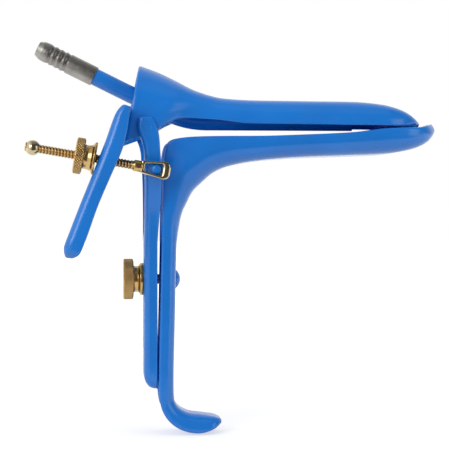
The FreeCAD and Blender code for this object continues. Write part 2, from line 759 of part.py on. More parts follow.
def make_lower_blade():
    """Lower blade, handle and foot with the square hole of the height bolt."""
    blank = formed_sheet("lower_blade", lower_blade_stations())
    hole = box("bolt_square_hole", "3 * sheet_thickness", "bolt_square + 2 * pin_clearance",
               "bolt_square + 2 * pin_clearance",
               ("handle_front - 2.4 * sheet_thickness", "-(bolt_square / 2 + pin_clearance)",
                "-(bolt_drop + bolt_square / 2 + pin_clearance)"))
    return cut_all("lower_blade", blank, [hole])


def make_height_bolt():
    """Round-headed bolt with a square neck, from the front of the handle back through both slots."""
    body = doc.addObject("PartDesign::Body", "height_bolt_turned")
    sketch = sketch_on(body, "height_bolt_outline", "XZ_Plane")
    head = evaluate(HANDLE_FACE) + size("bolt_seat_gap")
    rise = size("bolt_head_height")
    wide = size("bolt_head_radius")
    radius = size("bolt_radius")
    tail = evaluate(NUT_FACE) - evaluate(NUT_LENGTH) + size("bolt_end_setback")
    middle = Vector(head + 0.76 * rise, 0.66 * wide, 0)
    lines = [
        (Vector(head, wide, 0), Vector(head, radius, 0)),
        (Vector(head, radius, 0), Vector(tail, radius, 0)),
        (Vector(tail, radius, 0), Vector(tail, 0, 0)),
        (Vector(tail, 0, 0), Vector(head + rise, 0, 0)),
    ]
    for start, end in lines:
        sketch.addGeometry(Part.LineSegment(start, end))
    dome = sketch.addGeometry(Part.Arc(Vector(head + rise, 0, 0), middle, Vector(head, wide, 0)))
    dome_start, dome_end = arc_ends(sketch, dome, Vector(head + rise, 0, 0))
    for index in range(3):
        sketch.addConstraint(Sketcher.Constraint("Coincident", index, 2, index + 1, 1))
    sketch.addConstraint(Sketcher.Constraint("Coincident", 3, 2, dome, dome_start))
    sketch.addConstraint(Sketcher.Constraint("Coincident", dome, dome_end, 0, 1))
    face = HANDLE_FACE + " + bolt_seat_gap"
    end = NUT_FACE + " - " + NUT_LENGTH + " + bolt_end_setback"
    tie(sketch, 0, 1, (face, "bolt_head_radius"))
    tie(sketch, 0, 2, (face, "bolt_radius"))
    tie(sketch, 1, 2, (end, "bolt_radius"))
    tie(sketch, 2, 2, (end, "0"))
    tie(sketch, 3, 2, (face + " + bolt_head_height", "0"))
    bulge = "(bolt_head_radius ^ 2 + bolt_head_height ^ 2) / (2 * bolt_head_height)"
    constraint = sketch.addConstraint(Sketcher.Constraint("Radius", dome, evaluate(bulge)))
    sketch.setExpression("Constraints[%d]" % constraint, cells(bulge))
    feature = body.newObject("PartDesign::Revolution", "height_bolt_turning")
    feature.Profile = sketch
    feature.ReferenceAxis = (plane_of(body, "X_Axis"), [""])
    feature.Angle = 360
    set_place(body, ("0", "0", "-bolt_drop"))
    neck = box("bolt_neck", "sheet_thickness", "bolt_square", "bolt_square",
               (HANDLE_FACE + " + bolt_seat_gap - sheet_thickness", "-bolt_square / 2",
                "-(bolt_drop + bolt_square / 2)"))
    return boolean("Fuse", "height_bolt", body, neck)


def make_height_nut():
    """Knurled nut with a neck and a flange that bears on the back of the yoke."""
    bore = "bolt_radius + pin_clearance"
    neck_start = "height_nut_flange"
    disc_start = "height_nut_flange + height_nut_neck"
    end = "height_nut_flange + height_nut_neck + height_nut_grip"
    body = turned("height_nut", [
        ("0", bore),
        ("0", "height_nut_flange_radius - 0.5 * nut_edge"),
        ("0.5 * nut_edge", "height_nut_flange_radius"),
        (neck_start + " - nut_edge", "height_nut_flange_radius"),
        (neck_start, "height_nut_neck_radius + nut_edge"),
        (neck_start + " + nut_edge", "height_nut_neck_radius"),
        (disc_start + " - nut_edge", "height_nut_neck_radius"),
        (disc_start, "height_nut_neck_radius + nut_edge"),
        (disc_start, "height_nut_radius - nut_edge"),
        (disc_start + " + nut_edge", "height_nut_radius"),
        (end + " - nut_edge", "height_nut_radius"),
        (end, "height_nut_radius - nut_edge"),
        (end, bore),
    ])
    body.Placement = FreeCAD.Placement(Vector(0, 0, 0), FreeCAD.Rotation(Z_AXIS, 180))
    set_place(body, (NUT_FACE, "0", "-bolt_drop"))
    return body


# Yoke, hinge rivets and swivel lug


def make_yoke():
    """Slotted slide whose back is cut away above the fork, which leaves two arms with hinge ears."""
    blank = formed_sheet("yoke", yoke_stations())
    fork = doc.addObject("PartDesign::Body", "yoke_fork_tool")
    sketch = sketch_on(fork, "yoke_fork_outline", "YZ_Plane")
    inner = "yoke_half_width - arm_lip"
    ear = "flare_half_width + ear_clearance"
    spread = "(%s - yoke_half_width)" % EAR_OUTER
    right = [
        ("0.35 * (%s)" % inner, "-arm_fork"),
        ("0.75 * (%s)" % inner, "-arm_fork + 0.13 * yoke_half_width"),
        ("0.95 * (%s)" % inner, "-arm_fork + 0.344 * yoke_half_width"),
    ]
    for level, share in zip(ARM_LEVEL, ARM_SPREAD):
        right.append(("yoke_half_width + %s * %s - arm_lip" % (share, spread), "-%s * arm_fork" % level))
    right.append((ear, "-%s * arm_fork" % ARM_LEVEL[-1]))
    right.append((ear, "ear_top + yoke_depth"))
    left = [("-(%s)" % across, height) for across, height in reversed(right)]
    outline(sketch, right + left)
    pad = fork.newObject("PartDesign::Pad", "yoke_fork_pad")
    pad.Profile = sketch
    pad.Midplane = True
    bind(pad, Length="6 * yoke_depth")
    slot = doc.addObject("PartDesign::Body", "yoke_slot_tool")
    slot_sketch = sketch_on(slot, "yoke_slot_outline", "YZ_Plane")
    slot_outline(slot_sketch, "height_travel + 2 * bolt_radius + 4 * slot_clearance",
                 "bolt_radius + slot_clearance")
    slot_pad = slot.newObject("PartDesign::Pad", "yoke_slot_pad")
    slot_pad.Profile = slot_sketch
    slot_pad.Midplane = True
    bind(slot_pad, Length="6 * sheet_thickness")
    set_place(slot, (YOKE_BACK, "0", "-(bolt_drop + height_travel / 2)"))
    hole = cylinder("ear_hinge_hole", "rivet_radius", THROUGH_LENGTH,
                    ("0", THROUGH_START, "0"), ALONG_Y)
    return cut_all("yoke", blank, [fork, slot, hole])


def make_rivet(name, side):
    """Hinge rivet: shank through ear and lug, flush outside, with a domed head inside the flare."""
    body = turned(name, [
        ("0", "0"),
        ("0", "rivet_radius"),
        ("sheet_thickness + ear_clearance + sheet_thickness + ear_clearance", "rivet_radius"),
        ("2 * sheet_thickness + 2 * ear_clearance", "rivet_head_radius"),
        ("2 * sheet_thickness + 2 * ear_clearance + 0.45 * rivet_head_height", "rivet_head_radius"),
        ("2 * sheet_thickness + 2 * ear_clearance + 0.85 * rivet_head_height", "0.75 * rivet_head_radius"),
        ("2 * sheet_thickness + 2 * ear_clearance + rivet_head_height", "0"),
    ])
    body.Placement = FreeCAD.Placement(Vector(0, 0, 0), FreeCAD.Rotation(Z_AXIS, -90 * side))
    set_place(body, ("0", ("" if side > 0 else "-") + EAR_OUTER, "0"))
    return body


def make_swivel_lug(yoke):
    """Stud on the near arm that the screw's loop turns on, with a collar between loop and arm."""
    loop_inner = "(screw_side - loop_thickness / 2 - nut_seat_gap)"
    root = "(yoke_half_width + 0.69 * (%s - yoke_half_width))" % EAR_OUTER
    collar = cylinder("lug_collar", "lug_collar_radius", loop_inner + " - " + root,
                      ("lug_place", "-" + loop_inner, "-lug_height"), ALONG_Y)
    tip = "(screw_side + loop_thickness / 2)"
    stud = cylinder("lug_stud", "lug_radius", tip + " - " + root,
                    ("lug_place", "-" + tip, "-lug_height"), ALONG_Y)
    return cut_all("swivel_lug", boolean("Fuse", "lug_whole", collar, stud), [yoke])


# Angle screw, its ball and its nut, each along the screw's own X axis from the lug rearward


def set_on_screw(item, along, spin=0):
    """Put an item on the screw's axis, a distance rearward of the swivel lug."""
    item.Placement = FreeCAD.Placement(Vector(0, 0, 0), FreeCAD.Rotation(Y_AXIS, size("screw_angle") + spin))
    item.setExpression("Placement.Base.x", cells("lug_place - cos(screw_angle) * (%s)" % along))
    item.setExpression("Placement.Base.y", cells("-screw_side"))
    item.setExpression("Placement.Base.z", cells("-lug_height + sin(screw_angle) * (%s)" % along))


def make_angle_screw():
    """Flat loop with its window, a round shoulder and the screwed rod."""
    body = doc.addObject("PartDesign::Body", "angle_screw")
    plate = sketch_on(body, "loop_outline", "XZ_Plane")
    front = []
    for turn in range(0, 91, 15):
        front.append(("loop_front - loop_corner * (1 - cos(%d))" % turn,
                      "loop_front_height / 2 - loop_corner * (1 - sin(%d))" % turn))
    outline(plate, [("-loop_back", "-loop_back_height / 2")]
            + [(x, "-(%s)" % z) for x, z in reversed(front)] + front
            + [("-loop_back", "loop_back_height / 2")])
    pad = body.newObject("PartDesign::Pad", "loop_pad")
    pad.Profile = plate
    pad.Midplane = True
    bind(pad, Length="loop_thickness")
    doc.recompute()
    window = sketch_on(body, "loop_window", "XZ_Plane")
    half = "(lug_radius + loop_clearance)"
    near = "-loop_back + loop_neck_wall"
    far = "loop_front - loop_end_wall"
    outline(window, [
        (near, "-%s + window_corner" % half), (near + " + window_corner", "-" + half),
        (far + " - window_corner", "-" + half), (far, "-%s + window_corner" % half),
        (far, "%s - window_corner" % half), (far + " - window_corner", half),
        (near + " + window_corner", half), (near, "%s - window_corner" % half),
    ])
    pocket = body.newObject("PartDesign::Pocket", "loop_pocket")
    pocket.Profile = window
    pocket.Midplane = True
    bind(pocket, Length="2 * loop_thickness")
    doc.recompute()
    rod = sketch_on(body, "rod_outline", "XZ_Plane")
    outline(rod, [
        ("-loop_back + 0.6 * loop_neck_wall", "0"),
        ("-loop_back + 0.6 * loop_neck_wall", "0.75 * shoulder_radius"),
        ("-loop_back", "shoulder_radius"),
        ("-loop_back - shoulder_length", "shoulder_radius"),
        ("-loop_back - shoulder_length - nut_edge", "screw_radius"),
        ("-screw_length - ball_radius", "screw_radius"),
        ("-screw_length - ball_radius", "0"),
    ])
    turning = body.newObject("PartDesign::Revolution", "rod_turning")
    turning.Profile = rod
    turning.ReferenceAxis = (plane_of(body, "X_Axis"), [""])
    turning.Angle = 360
    set_on_screw(body, "0")
    return body


def make_ball():
    """Ball that keeps the nut on the rod, bored for the rod's end."""
    body = doc.addObject("PartDesign::Body", "angle_screw_ball")
    sketch = sketch_on(body, "ball_outline", "XZ_Plane")
    half = math.sqrt(size("ball_radius") ** 2 - size("screw_radius") ** 2)
    rear = Vector(-half, size("screw_radius"), 0)
    front = Vector(half, size("screw_radius"), 0)
    dome = sketch.addGeometry(Part.Arc(front, Vector(0, size("ball_radius"), 0), rear))
    bore = sketch.addGeometry(Part.LineSegment(rear, front))
    dome_rear, dome_front = arc_ends(sketch, dome, rear)
    sketch.addConstraint(Sketcher.Constraint("Coincident", bore, 1, dome, dome_rear))
    sketch.addConstraint(Sketcher.Constraint("Coincident", bore, 2, dome, dome_front))
    sketch.addConstraint(Sketcher.Constraint("Coincident", dome, 3, -1, 1))
    hold(sketch, "DistanceY", bore, 1, "screw_radius")
    hold(sketch, "DistanceY", bore, 2, "screw_radius")
    constraint = sketch.addConstraint(Sketcher.Constraint("Radius", dome, size("ball_radius")))
    sketch.setExpression("Constraints[%d]" % constraint, cells("ball_radius"))
    turning = body.newObject("PartDesign::Revolution", "ball_turning")
    turning.Profile = sketch
    turning.ReferenceAxis = (plane_of(body, "X_Axis"), [""])
    turning.Angle = 360
    set_on_screw(body, "screw_length")
    return body


def make_angle_nut():
    """Knurled nut with a neck and a thin flange that meets the back of the lever."""
    bore = "screw_radius + pin_clearance"
    grip = "angle_nut_grip"
    end = "angle_nut_length"
    body = turned("angle_nut", [
        ("0", bore),
        ("0", "angle_nut_radius - nut_edge"),
        ("nut_edge", "angle_nut_radius"),
        (grip + " - nut_edge", "angle_nut_radius"),
        (grip, "angle_nut_radius - nut_edge"),
        (grip, "angle_nut_neck_radius + nut_edge"),
        (grip + " + nut_edge", "angle_nut_neck_radius"),
        (grip + " + 0.35 * (angle_nut_length - angle_nut_grip)", "angle_nut_neck_radius"),
        (end + " - 2 * nut_edge", "angle_nut_flange_radius"),
        (end, "angle_nut_flange_radius"),
        (end, bore),
    ])
    set_on_screw(body, NUT_PLACE + " + angle_nut_length")
    return body


# Assembly

upper_blade = make_upper_blade()
yoke = make_yoke()
NODES = [
    make_lower_blade(),
    upper_blade,
    make_thumb_lever(upper_blade),
    yoke,
    make_rivet("right_pivot_rivet", -1),
    make_rivet("left_pivot_rivet", 1),
    make_height_bolt(),
    make_height_nut(),
    make_angle_screw(),
    make_ball(),
    make_angle_nut(),
    make_swivel_lug(yoke),
    make_smoke_tube(),
    make_hose_barb(),
    make_saddle("front_tube_saddle", "saddle_front_place", upper_blade),
    make_saddle("rear_tube_saddle", "saddle_rear_place", upper_blade),
]

# Checks and files

doc.recompute()
for item in doc.Objects:
    if "Invalid" in item.State or "Error" in item.State:
        raise RuntimeError("%s is %s" % (item.Name, item.State))
for node in NODES:
    node.Label = node.Name
    if node.Shape.isNull() or not node.Shape.isValid():
        raise RuntimeError("%s has no valid shape" % node.Label)
os.makedirs("parts", exist_ok=True)
for node in NODES:
    node.Shape.exportStep("parts/%s.step" % node.Label)
    print("%-20s solids %d  volume %8.1f" % (node.Label, len(node.Shape.Solids), node.Shape.Volume))
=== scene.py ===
"""Looks of a coated bivalve speculum: blades, yoke, lever, smoke tube and turned metal pieces."""
import json
import math

import bmesh
import bpy
from mathutils import Matrix, Vector


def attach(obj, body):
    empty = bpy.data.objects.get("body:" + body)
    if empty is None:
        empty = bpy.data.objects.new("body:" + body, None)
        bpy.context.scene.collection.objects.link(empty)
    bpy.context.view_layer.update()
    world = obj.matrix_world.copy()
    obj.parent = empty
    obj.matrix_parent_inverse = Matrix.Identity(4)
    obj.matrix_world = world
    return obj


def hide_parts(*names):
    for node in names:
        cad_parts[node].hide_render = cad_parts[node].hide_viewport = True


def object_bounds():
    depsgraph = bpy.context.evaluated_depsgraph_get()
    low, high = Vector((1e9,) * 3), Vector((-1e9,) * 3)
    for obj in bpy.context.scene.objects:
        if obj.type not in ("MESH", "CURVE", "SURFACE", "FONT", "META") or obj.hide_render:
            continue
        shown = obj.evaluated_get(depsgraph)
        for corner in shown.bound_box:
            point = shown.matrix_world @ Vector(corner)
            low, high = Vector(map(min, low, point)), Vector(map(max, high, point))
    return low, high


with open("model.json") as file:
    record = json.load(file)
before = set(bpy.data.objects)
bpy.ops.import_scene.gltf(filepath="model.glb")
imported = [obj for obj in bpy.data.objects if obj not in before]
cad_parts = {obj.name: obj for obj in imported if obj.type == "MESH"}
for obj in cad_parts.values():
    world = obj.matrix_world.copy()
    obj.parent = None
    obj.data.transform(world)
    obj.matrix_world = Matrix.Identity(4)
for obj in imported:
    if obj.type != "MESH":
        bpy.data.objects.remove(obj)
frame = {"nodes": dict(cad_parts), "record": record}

cad_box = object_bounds()

# In metres: a millimetre, and the distance within which two points are one

MM = 0.001
WELD = 1e-7

# Sizes in millimetres and degrees: the CAD model's, and four that it has no name for, which are
# yoke_rim, yoke_back, ear_half_width and angle_nut_place

SIZES = {
    "sheet_thickness": 1.6, "upper_reach": 109.2, "upper_crest_height": 10.9, "upper_rim_height": 1.35,
    "tip_gap": 0.4, "blade_half_width": 17.4, "throat_half_width": 13.7, "throat_place": 27.0,
    "belly_setback": 18.0, "flare_half_width": 19.0, "flare_crest_height": 24.7, "flare_back": 8.4,
    "flare_rake": 5.9, "rim_arch": 2.2, "lug_drop": 6.1, "lower_reach": 115.4, "lower_crest_drop": 11.2,
    "lower_rim_drop": 3.1, "lower_tip_rise": 2.3, "lower_belly_setback": 22.0, "bend_place": 44.0,
    "handle_front": 12.1, "handle_depth": 6.1, "handle_half_width": 9.5, "handle_lean": 1.3,
    "handle_top": 45.0, "foot_start": 103.9, "foot_radius": 15.45, "yoke_depth": 5.3,
    "yoke_half_width": 9.3, "yoke_rim": 4.55, "yoke_back": -0.75, "yoke_bottom": 101.3, "arm_fork": 42.0,
    "arm_lip": 2.9, "ear_half_width": 20.9, "ear_top": 3.8, "rivet_radius": 1.6, "lever_half_width": 6.5,
    "lever_depth": 6.5, "lever_angle": 23.7, "lever_top": 7.6, "lever_foot_setback": 26.9,
    "lever_foot_drop": 51.3, "lever_slot_length": 11.0, "lever_slot_below": 3.6, "screw_side": 22.6,
    "screw_angle": 9.75, "screw_radius": 1.75, "screw_length": 47.1, "lug_place": 3.6,
    "lug_height": 16.35, "bolt_drop": 58.9, "bolt_radius": 1.95, "bolt_square": 4.0,
    "height_travel": 25.0, "angle_nut_place": 23.3, "angle_nut_length": 7.9, "tube_radius": 3.35,
    "tube_bore_radius": 2.45, "tube_height": 2.9, "tube_end": 82.0, "tube_slope": 26.2,
    "tube_bend_place": 15.8, "tube_bend_radius": 36.0, "barb_place": 39.7, "barb_socket_depth": 9.0,
}


def size(name):
    """One named size in millimetres or degrees."""
    return SIZES[name]


def between(start, end, share):
    """Value a share of the way from start to end."""
    return start + (end - start) * share


# Mesh helpers


def mesh_object(name, points, faces):
    """Mesh object from points in millimetres."""
    mesh = bpy.data.meshes.new(name)
    mesh.from_pydata([Vector(p) * MM for p in points], [], faces)
    mesh.update()
    item = bpy.data.objects.new(name, mesh)
    bpy.context.scene.collection.objects.link(item)
    return item


def face_outward(item, weld=0.0):
    """Turn every face outward, and weld points nearer than the given distance in metres."""
    mesh = bmesh.new()
    mesh.from_mesh(item.data)
    if weld:
        bmesh.ops.remove_doubles(mesh, verts=mesh.verts, dist=weld)
    bmesh.ops.recalc_face_normals(mesh, faces=mesh.faces)
    mesh.to_mesh(item.data)
    mesh.free()


def grid_mesh(name, rows, caps=True):
    """Tube of quads through rows of points that each close on themselves, with flat ends."""
    width = len(rows[0])
    points = [point for row in rows for point in row]
    faces = []
    for r in range(len(rows) - 1):
        for c in range(width):
            d = (c + 1) % width
            faces.append((r * width + c, r * width + d, (r + 1) * width + d, (r + 1) * width + c))
    if caps:
        last = (len(rows) - 1) * width
        faces.append(tuple(range(width - 1, -1, -1)))
        faces.append(tuple(last + c for c in range(width)))
    return mesh_object(name, points, faces)


def bake(item):
    """Apply an item's modifiers to its mesh."""
    graph = bpy.context.evaluated_depsgraph_get()
    mesh = bpy.data.meshes.new_from_object(item.evaluated_get(graph))
    item.modifiers.clear()
    item.data = mesh


def cut(item, *tools):
    """Cut tools away from an item and delete them."""
    for tool in tools:
        modifier = item.modifiers.new("cut", "BOOLEAN")
        modifier.operation = "DIFFERENCE"
        modifier.solver = "EXACT"
        modifier.object = tool
    bake(item)
    for tool in tools:
        bpy.data.objects.remove(tool)


def prism(name, outline, axis, low, high):
    """Closed prism of an outline of (a, b) pairs, from low to high along X or Y."""
    def place(a, b, c):
        return (c, a, b) if axis == "X" else (a, c, b)
    points = [place(a, b, low) for a, b in outline] + [place(a, b, high) for a, b in outline]
    count = len(outline)
    faces = [tuple(range(count)), tuple(range(2 * count - 1, count - 1, -1))]
    for i in range(count):
        j = (i + 1) % count
        faces.append((i, i + count, j + count, j))
    item = mesh_object(name, points, faces)
    face_outward(item)
    return item


def arc_points(a, b, radius, start, end, steps):
    """Points of an arc about (a, b), with its angles in degrees."""
    return [(a + radius * math.cos(math.radians(t)), b + radius * math.sin(math.radians(t)))
            for t in (between(start, end, i / steps) for i in range(steps + 1))]


def slot_outline(a, b, length, half):
    """Upright slot with round ends about a point."""
    straight = length / 2 - half
    return arc_points(a, b + straight, half, 0, 180, 16) + arc_points(a, b - straight, half, 180, 360, 16)


# Formed sheet: a channel section swept through smooth stations


def section(rim, crest, half, corner, inset=0.0):
    """Points round a channel section that opens toward its rim. inset thins the sheet from both faces.

    The corner's radius is held between what the sheet can bend to and what the section has room for.
    """
    thick = size("sheet_thickness") - 2 * inset
    base = Vector((rim[0], 0, rim[1]))
    down = Vector((crest[0] - rim[0], 0, crest[1] - rim[1]))
    depth = down.length - inset
    down.normalize()
    half -= inset
    cap = thick / 2
    corner = max(1.08 * thick, min(corner - inset, depth - cap - 0.05 * thick, half - thick))
    mid = depth - corner
    inner = corner - thick
    side = half - corner

    def arc(across, deep, radius, start, end, steps):
        return [base + Vector((0, a, 0)) + down * d
                for a, d in arc_points(across, deep, radius, start, end, steps)]

    parts = [
        (arc(-side, mid, corner, 180, 90, 10), 14),
        (arc(side, mid, corner, 90, 0, 10), 6),
        (arc(half - cap, cap, cap, 0, -180, 8), 6),
        (arc(side, mid, inner, 0, 90, 10), 14),
        (arc(-side, mid, inner, 90, 180, 10), 6),
        (arc(cap - half, cap, cap, 0, -180, 8), 6),
    ]
    points = []
    for (part, steps), (following, _) in zip(parts, parts[1:] + parts[:1]):
        points += part
        points += [part[-1].lerp(following[0], i / steps) for i in range(1, steps)]
    return points


def slopes_of(places, values):
    """Slopes of a curve through the values that never swings past them."""
    rates = [(values[i + 1] - values[i]) / (places[i + 1] - places[i]) for i in range(len(places) - 1)]
    inner = [2 * a * b / (a + b) if a * b > 0 else 0.0 for a, b in zip(rates, rates[1:])]
    return [rates[0]] + inner + [rates[-1]]


def value_at(places, values, slopes, place):
    """Value of that curve at one place."""
    i = max(k for k in range(len(places) - 1) if places[k] <= place + 1e-9)
    step = places[i + 1] - places[i]
    t = (place - places[i]) / step
    return ((1 + 2 * t) * (1 - t) ** 2 * values[i] + t * t * (3 - 2 * t) * values[i + 1]
            + t * (1 - t) ** 2 * step * slopes[i] + t * t * (t - 1) * step * slopes[i + 1])


def smooth_rows(places, rows, count):
    """Rows of values at even steps along smooth curves through the given ones."""
    slopes = [slopes_of(places, row) for row in rows]
    return [[value_at(places, row, slope, places[-1] * i / count) for row, slope in zip(rows, slopes)]
            for i in range(count + 1)]


# Share of half the sheet's thickness that the rounded ends take off, so that their last ring stays open

END_ROUNDING = 0.96


def formed_sheet(name, stations, step=0.8, smoothing=6):
    """Smooth sheet through the stations, sampled every step of a millimetre, with rounded ends."""
    places = [0.0]
    for a, b in zip(stations, stations[1:]):
        places.append(places[-1] + math.hypot(b[0][0] + b[1][0] - a[0][0] - a[1][0],
                                              b[0][1] + b[1][1] - a[0][1] - a[1][1]) / 2)
    rows = list(zip(*[(*rim, *crest, half, corner) for rim, crest, half, corner in stations]))
    count = int(places[-1] / step)
    samples = smooth_rows(places, rows, count)
    for _ in range(smoothing):
        samples = [samples[0]] + [
            [(a + 2 * b + c) / 4 for a, b, c in zip(before, here, after)]
            for before, here, after in zip(samples, samples[1:], samples[2:])] + [samples[-1]]
    half_sheet = size("sheet_thickness") / 2
    run = places[-1] / count

    def rounded(end, inner):
        """Sections that close one end in a half circle, from the sheet outward."""
        result = []
        for degrees in range(15, 91, 15):
            turn = math.radians(degrees)
            back = half_sheet * (1 - math.sin(turn)) / run
            moved = [e + (b - e) * back for e, b in zip(end, inner)]
            result.append((moved, half_sheet * (1 - math.cos(turn)) * END_ROUNDING))
        return result

    def points_of(sample, inset=0.0):
        rim_x, rim_z, crest_x, crest_z, half, corner = sample
        return section((rim_x, rim_z), (crest_x, crest_z), half, corner, inset)

    sections = [points_of(s, inset) for s, inset in reversed(rounded(samples[0], samples[1]))]
    sections += [points_of(s) for s in samples[2:-2]]
    sections += [points_of(s, inset) for s, inset in rounded(samples[-1], samples[-2])]
    item = grid_mesh(name, sections)
    face_outward(item)
    return item


def station(rim_x, rim_z, crest_x, crest_z, half_width, roundness):
    """One station of a sheet, given by its rim and crest as seen from the side.

    Its roundness is its corner radius as a share of its half width.
    """
    return (rim_x, rim_z), (crest_x, crest_z), half_width, roundness * half_width


def upper_blade_stations():
    """Flared mouth with hinge lugs, waisted throat, blade and spoon tip."""
    reach = size("upper_reach")
    top = size("upper_crest_height")
    rim = size("upper_rim_height")
    wide = size("blade_half_width")
    throat = size("throat_half_width")
    throat_x = size("throat_place")
    setback = size("belly_setback")
    belly_x = reach - setback
    flare = size("flare_half_width")
    flare_top = size("flare_crest_height")
    back = -size("flare_back")
    drop = -size("lug_drop")
    arch = size("rim_arch")
    tip_rim = 0.13 * size("lower_tip_rise") + size("tip_gap")
    tip_crest = tip_rim + 1.12 * size("sheet_thickness")
    mid_x = between(throat_x, belly_x, 0.5)
    run = throat_x - back
    lift = rim - drop
    rise = flare_top - top
    return [
        station(back, drop, back + size("flare_rake"), flare_top, flare, 0.89),
        station(back + 0.13 * run, drop + 0.23 * lift, back + 0.395 * run, top + 0.78 * rise, flare, 0.84),
        station(back + 0.294 * run, drop + 0.51 * lift, back + 0.588 * run, top + 0.53 * rise,
                between(throat, flare, 0.985), 0.75),
        station(back + 0.469 * run, rim + 0.1 * arch, back + 0.74 * run, top + 0.32 * rise,
                between(throat, flare, 0.65), 0.67),
        station(back + 0.633 * run, rim + arch, back + 0.893 * run, top + 0.18 * rise,
                between(throat, flare, 0.28), 0.625),
        station(throat_x, rim + 0.73 * arch, throat_x + 0.085 * run, top + 0.07 * rise, throat, 0.606),
        station(throat_x + 0.367 * run, rim + 0.1 * arch, throat_x + 0.395 * run, top + 0.02 * rise,
                1.007 * throat, 0.594),
        station(mid_x, rim, mid_x + 0.014 * run, top, between(throat, wide, 0.35), 0.56),
        station(belly_x - 0.556 * setback, 0.75 * rim, belly_x - 0.528 * setback, 0.97 * top,
                0.989 * wide, 0.517),
        station(belly_x, 1.385 * tip_rim, belly_x + 0.044 * setback, 0.875 * top, wide, 0.483),
        station(reach - 0.6 * setback, tip_rim, reach - 0.511 * setback, 0.683 * top, 0.9 * wide, 0.409),
        station(reach - 0.328 * setback, tip_rim, reach - 0.239 * setback, 0.44 * top, 0.7 * wide, 0.345),
        station(reach - 0.161 * setback, 0.8 * tip_rim, reach - 0.089 * setback, 0.25 * top,
                0.46 * wide, 0.3),
        station(reach - 0.07 * setback, 0.6 * tip_rim, reach, tip_crest - 0.4 * tip_rim, 0.17 * wide, 0.676),
    ]


def lower_blade_stations():
    """Spoon tip, blade, bend, channelled handle and curled foot in one strip."""
    reach = size("lower_reach")
    under = -size("lower_crest_drop")
    rim = -size("lower_rim_drop")
    wide = size("blade_half_width")
    throat = size("throat_half_width")
    setback = size("lower_belly_setback")
    belly_x = reach - setback
    rise = size("lower_tip_rise")
    front = size("handle_front")
    deep = size("handle_depth")
    half = size("handle_half_width")
    lean = size("handle_lean")
    bend_x = size("bend_place")
    span = bend_x - front
    foot_z = -size("foot_start")
    handle_z = -size("handle_top")
    stations = [
        station(reach - 0.082 * setback, rise, reach, 0, 0.2 * wide, 0.575),
        station(reach - 0.195 * setback, 0.66 * rise, reach - 0.1 * setback, 0.28 * under,
                0.56 * wide, 0.39),
        station(reach - 0.373 * setback, 0.26 * rise, reach - 0.305 * setback, 0.575 * under,
                0.79 * wide, 0.437),
        station(reach - 0.636 * setback, 0.13 * rise, reach - 0.585 * setback, 0.75 * under,
                0.94 * wide, 0.452),
        station(belly_x, 0, belly_x + 0.027 * setback, 0.87 * under, wide, 0.483),
        station(belly_x - 0.636 * setback, 0.55 * rim, belly_x - 0.636 * setback, 0.93 * under, wide, 0.448),
        station(between(belly_x, bend_x, 0.648), 0.824 * rim, between(belly_x, bend_x, 0.648), 0.99 * under,
                between(throat, wide, 0.6), 0.465),
    ]
    # Bend from the blade's root down into the handle
    for rim_x, rim_fall, crest_x, crest_fall, width, roundness in (
            (bend_x, 0, 1.019, 0.0355, 1.238, 0.517),
            (front + 0.53 * span, 0.0024, 0.624, 0.1065, 1.119, 0.634),
            (front + 0.967 * deep, 0.0096, 0.442, 0.183, 1.095, 0.723),
            (front - 0.6 * deep, 0.05, 0.3135, 0.29, 1, 0.774),
            (front - 0.9 * deep, 0.23, 0.205, 0.388, 0.714, 0.752),
            (front - 0.93 * deep, 0.4375, 0.135, 0.512, 0.429, 0.708),
            (front - 0.94 * deep, 0.61, 0.065, 0.65, 0.214, 0.596),
            (front - 0.984 * deep, 0.808, 0.031, 0.793, 0.095, 0.525)):
        stations.append(station(rim_x, between(rim, handle_z, rim_fall),
                                front + crest_x * span, between(under, handle_z, crest_fall),
                                between(half, throat, width), roundness))
    # Straight handle
    for share in (0, 0.45, 0.93):
        x = between(front, front - lean, share)
        z = between(handle_z, foot_z, share)
        stations.append(station(x - deep * (1 - 0.033 * share), z, x, z, half, 0.6 * deep / half))
    # Curl of the foot, then its rounded tip
    radius = size("foot_radius")
    middle = front - lean - 0.918 * deep + radius
    for angle, rim_share, crest_share, width in (
            (12, 1, 0.627, 1), (32, 1, 0.597, 1), (52, 0.985, 0.54, 0.99), (72, 0.968, 0.51, 0.98),
            (92, 0.966, 0.5, 0.96), (108, 0.948, 0.553, 0.91)):
        turn = math.radians(angle)
        rim_reach = radius * rim_share
        crest_reach = radius * crest_share
        stations.append(station(
            middle - math.cos(turn) * rim_reach, foot_z - math.sin(turn) * rim_reach,
            middle - math.cos(turn) * crest_reach, foot_z - math.sin(turn) * crest_reach,
            width * half, 0.82 * (rim_reach - crest_reach) / (width * half)))
    for rim_run, rim_drop, crest_run, crest_drop, width, roundness in (
            (0.42, 0.85, 0.36, 0.553, 0.84, 0.5), (0.525, 0.79, 0.5, 0.58, 0.68, 0.45),
            (0.59, 0.735, 0.605, 0.64, 0.42, 0.5)):
        stations.append(station(middle + rim_run * radius, foot_z - rim_drop * radius,
                                middle + crest_run * radius, foot_z - crest_drop * radius,
                                width * half, roundness))
    return stations


# Heights of the arms' stations as shares of arm_fork, and how far each has spread toward the ears

ARM_LEVEL = (0.81, 0.571, 0.357, 0.195)
ARM_SPREAD = (0.19, 0.52, 0.83)


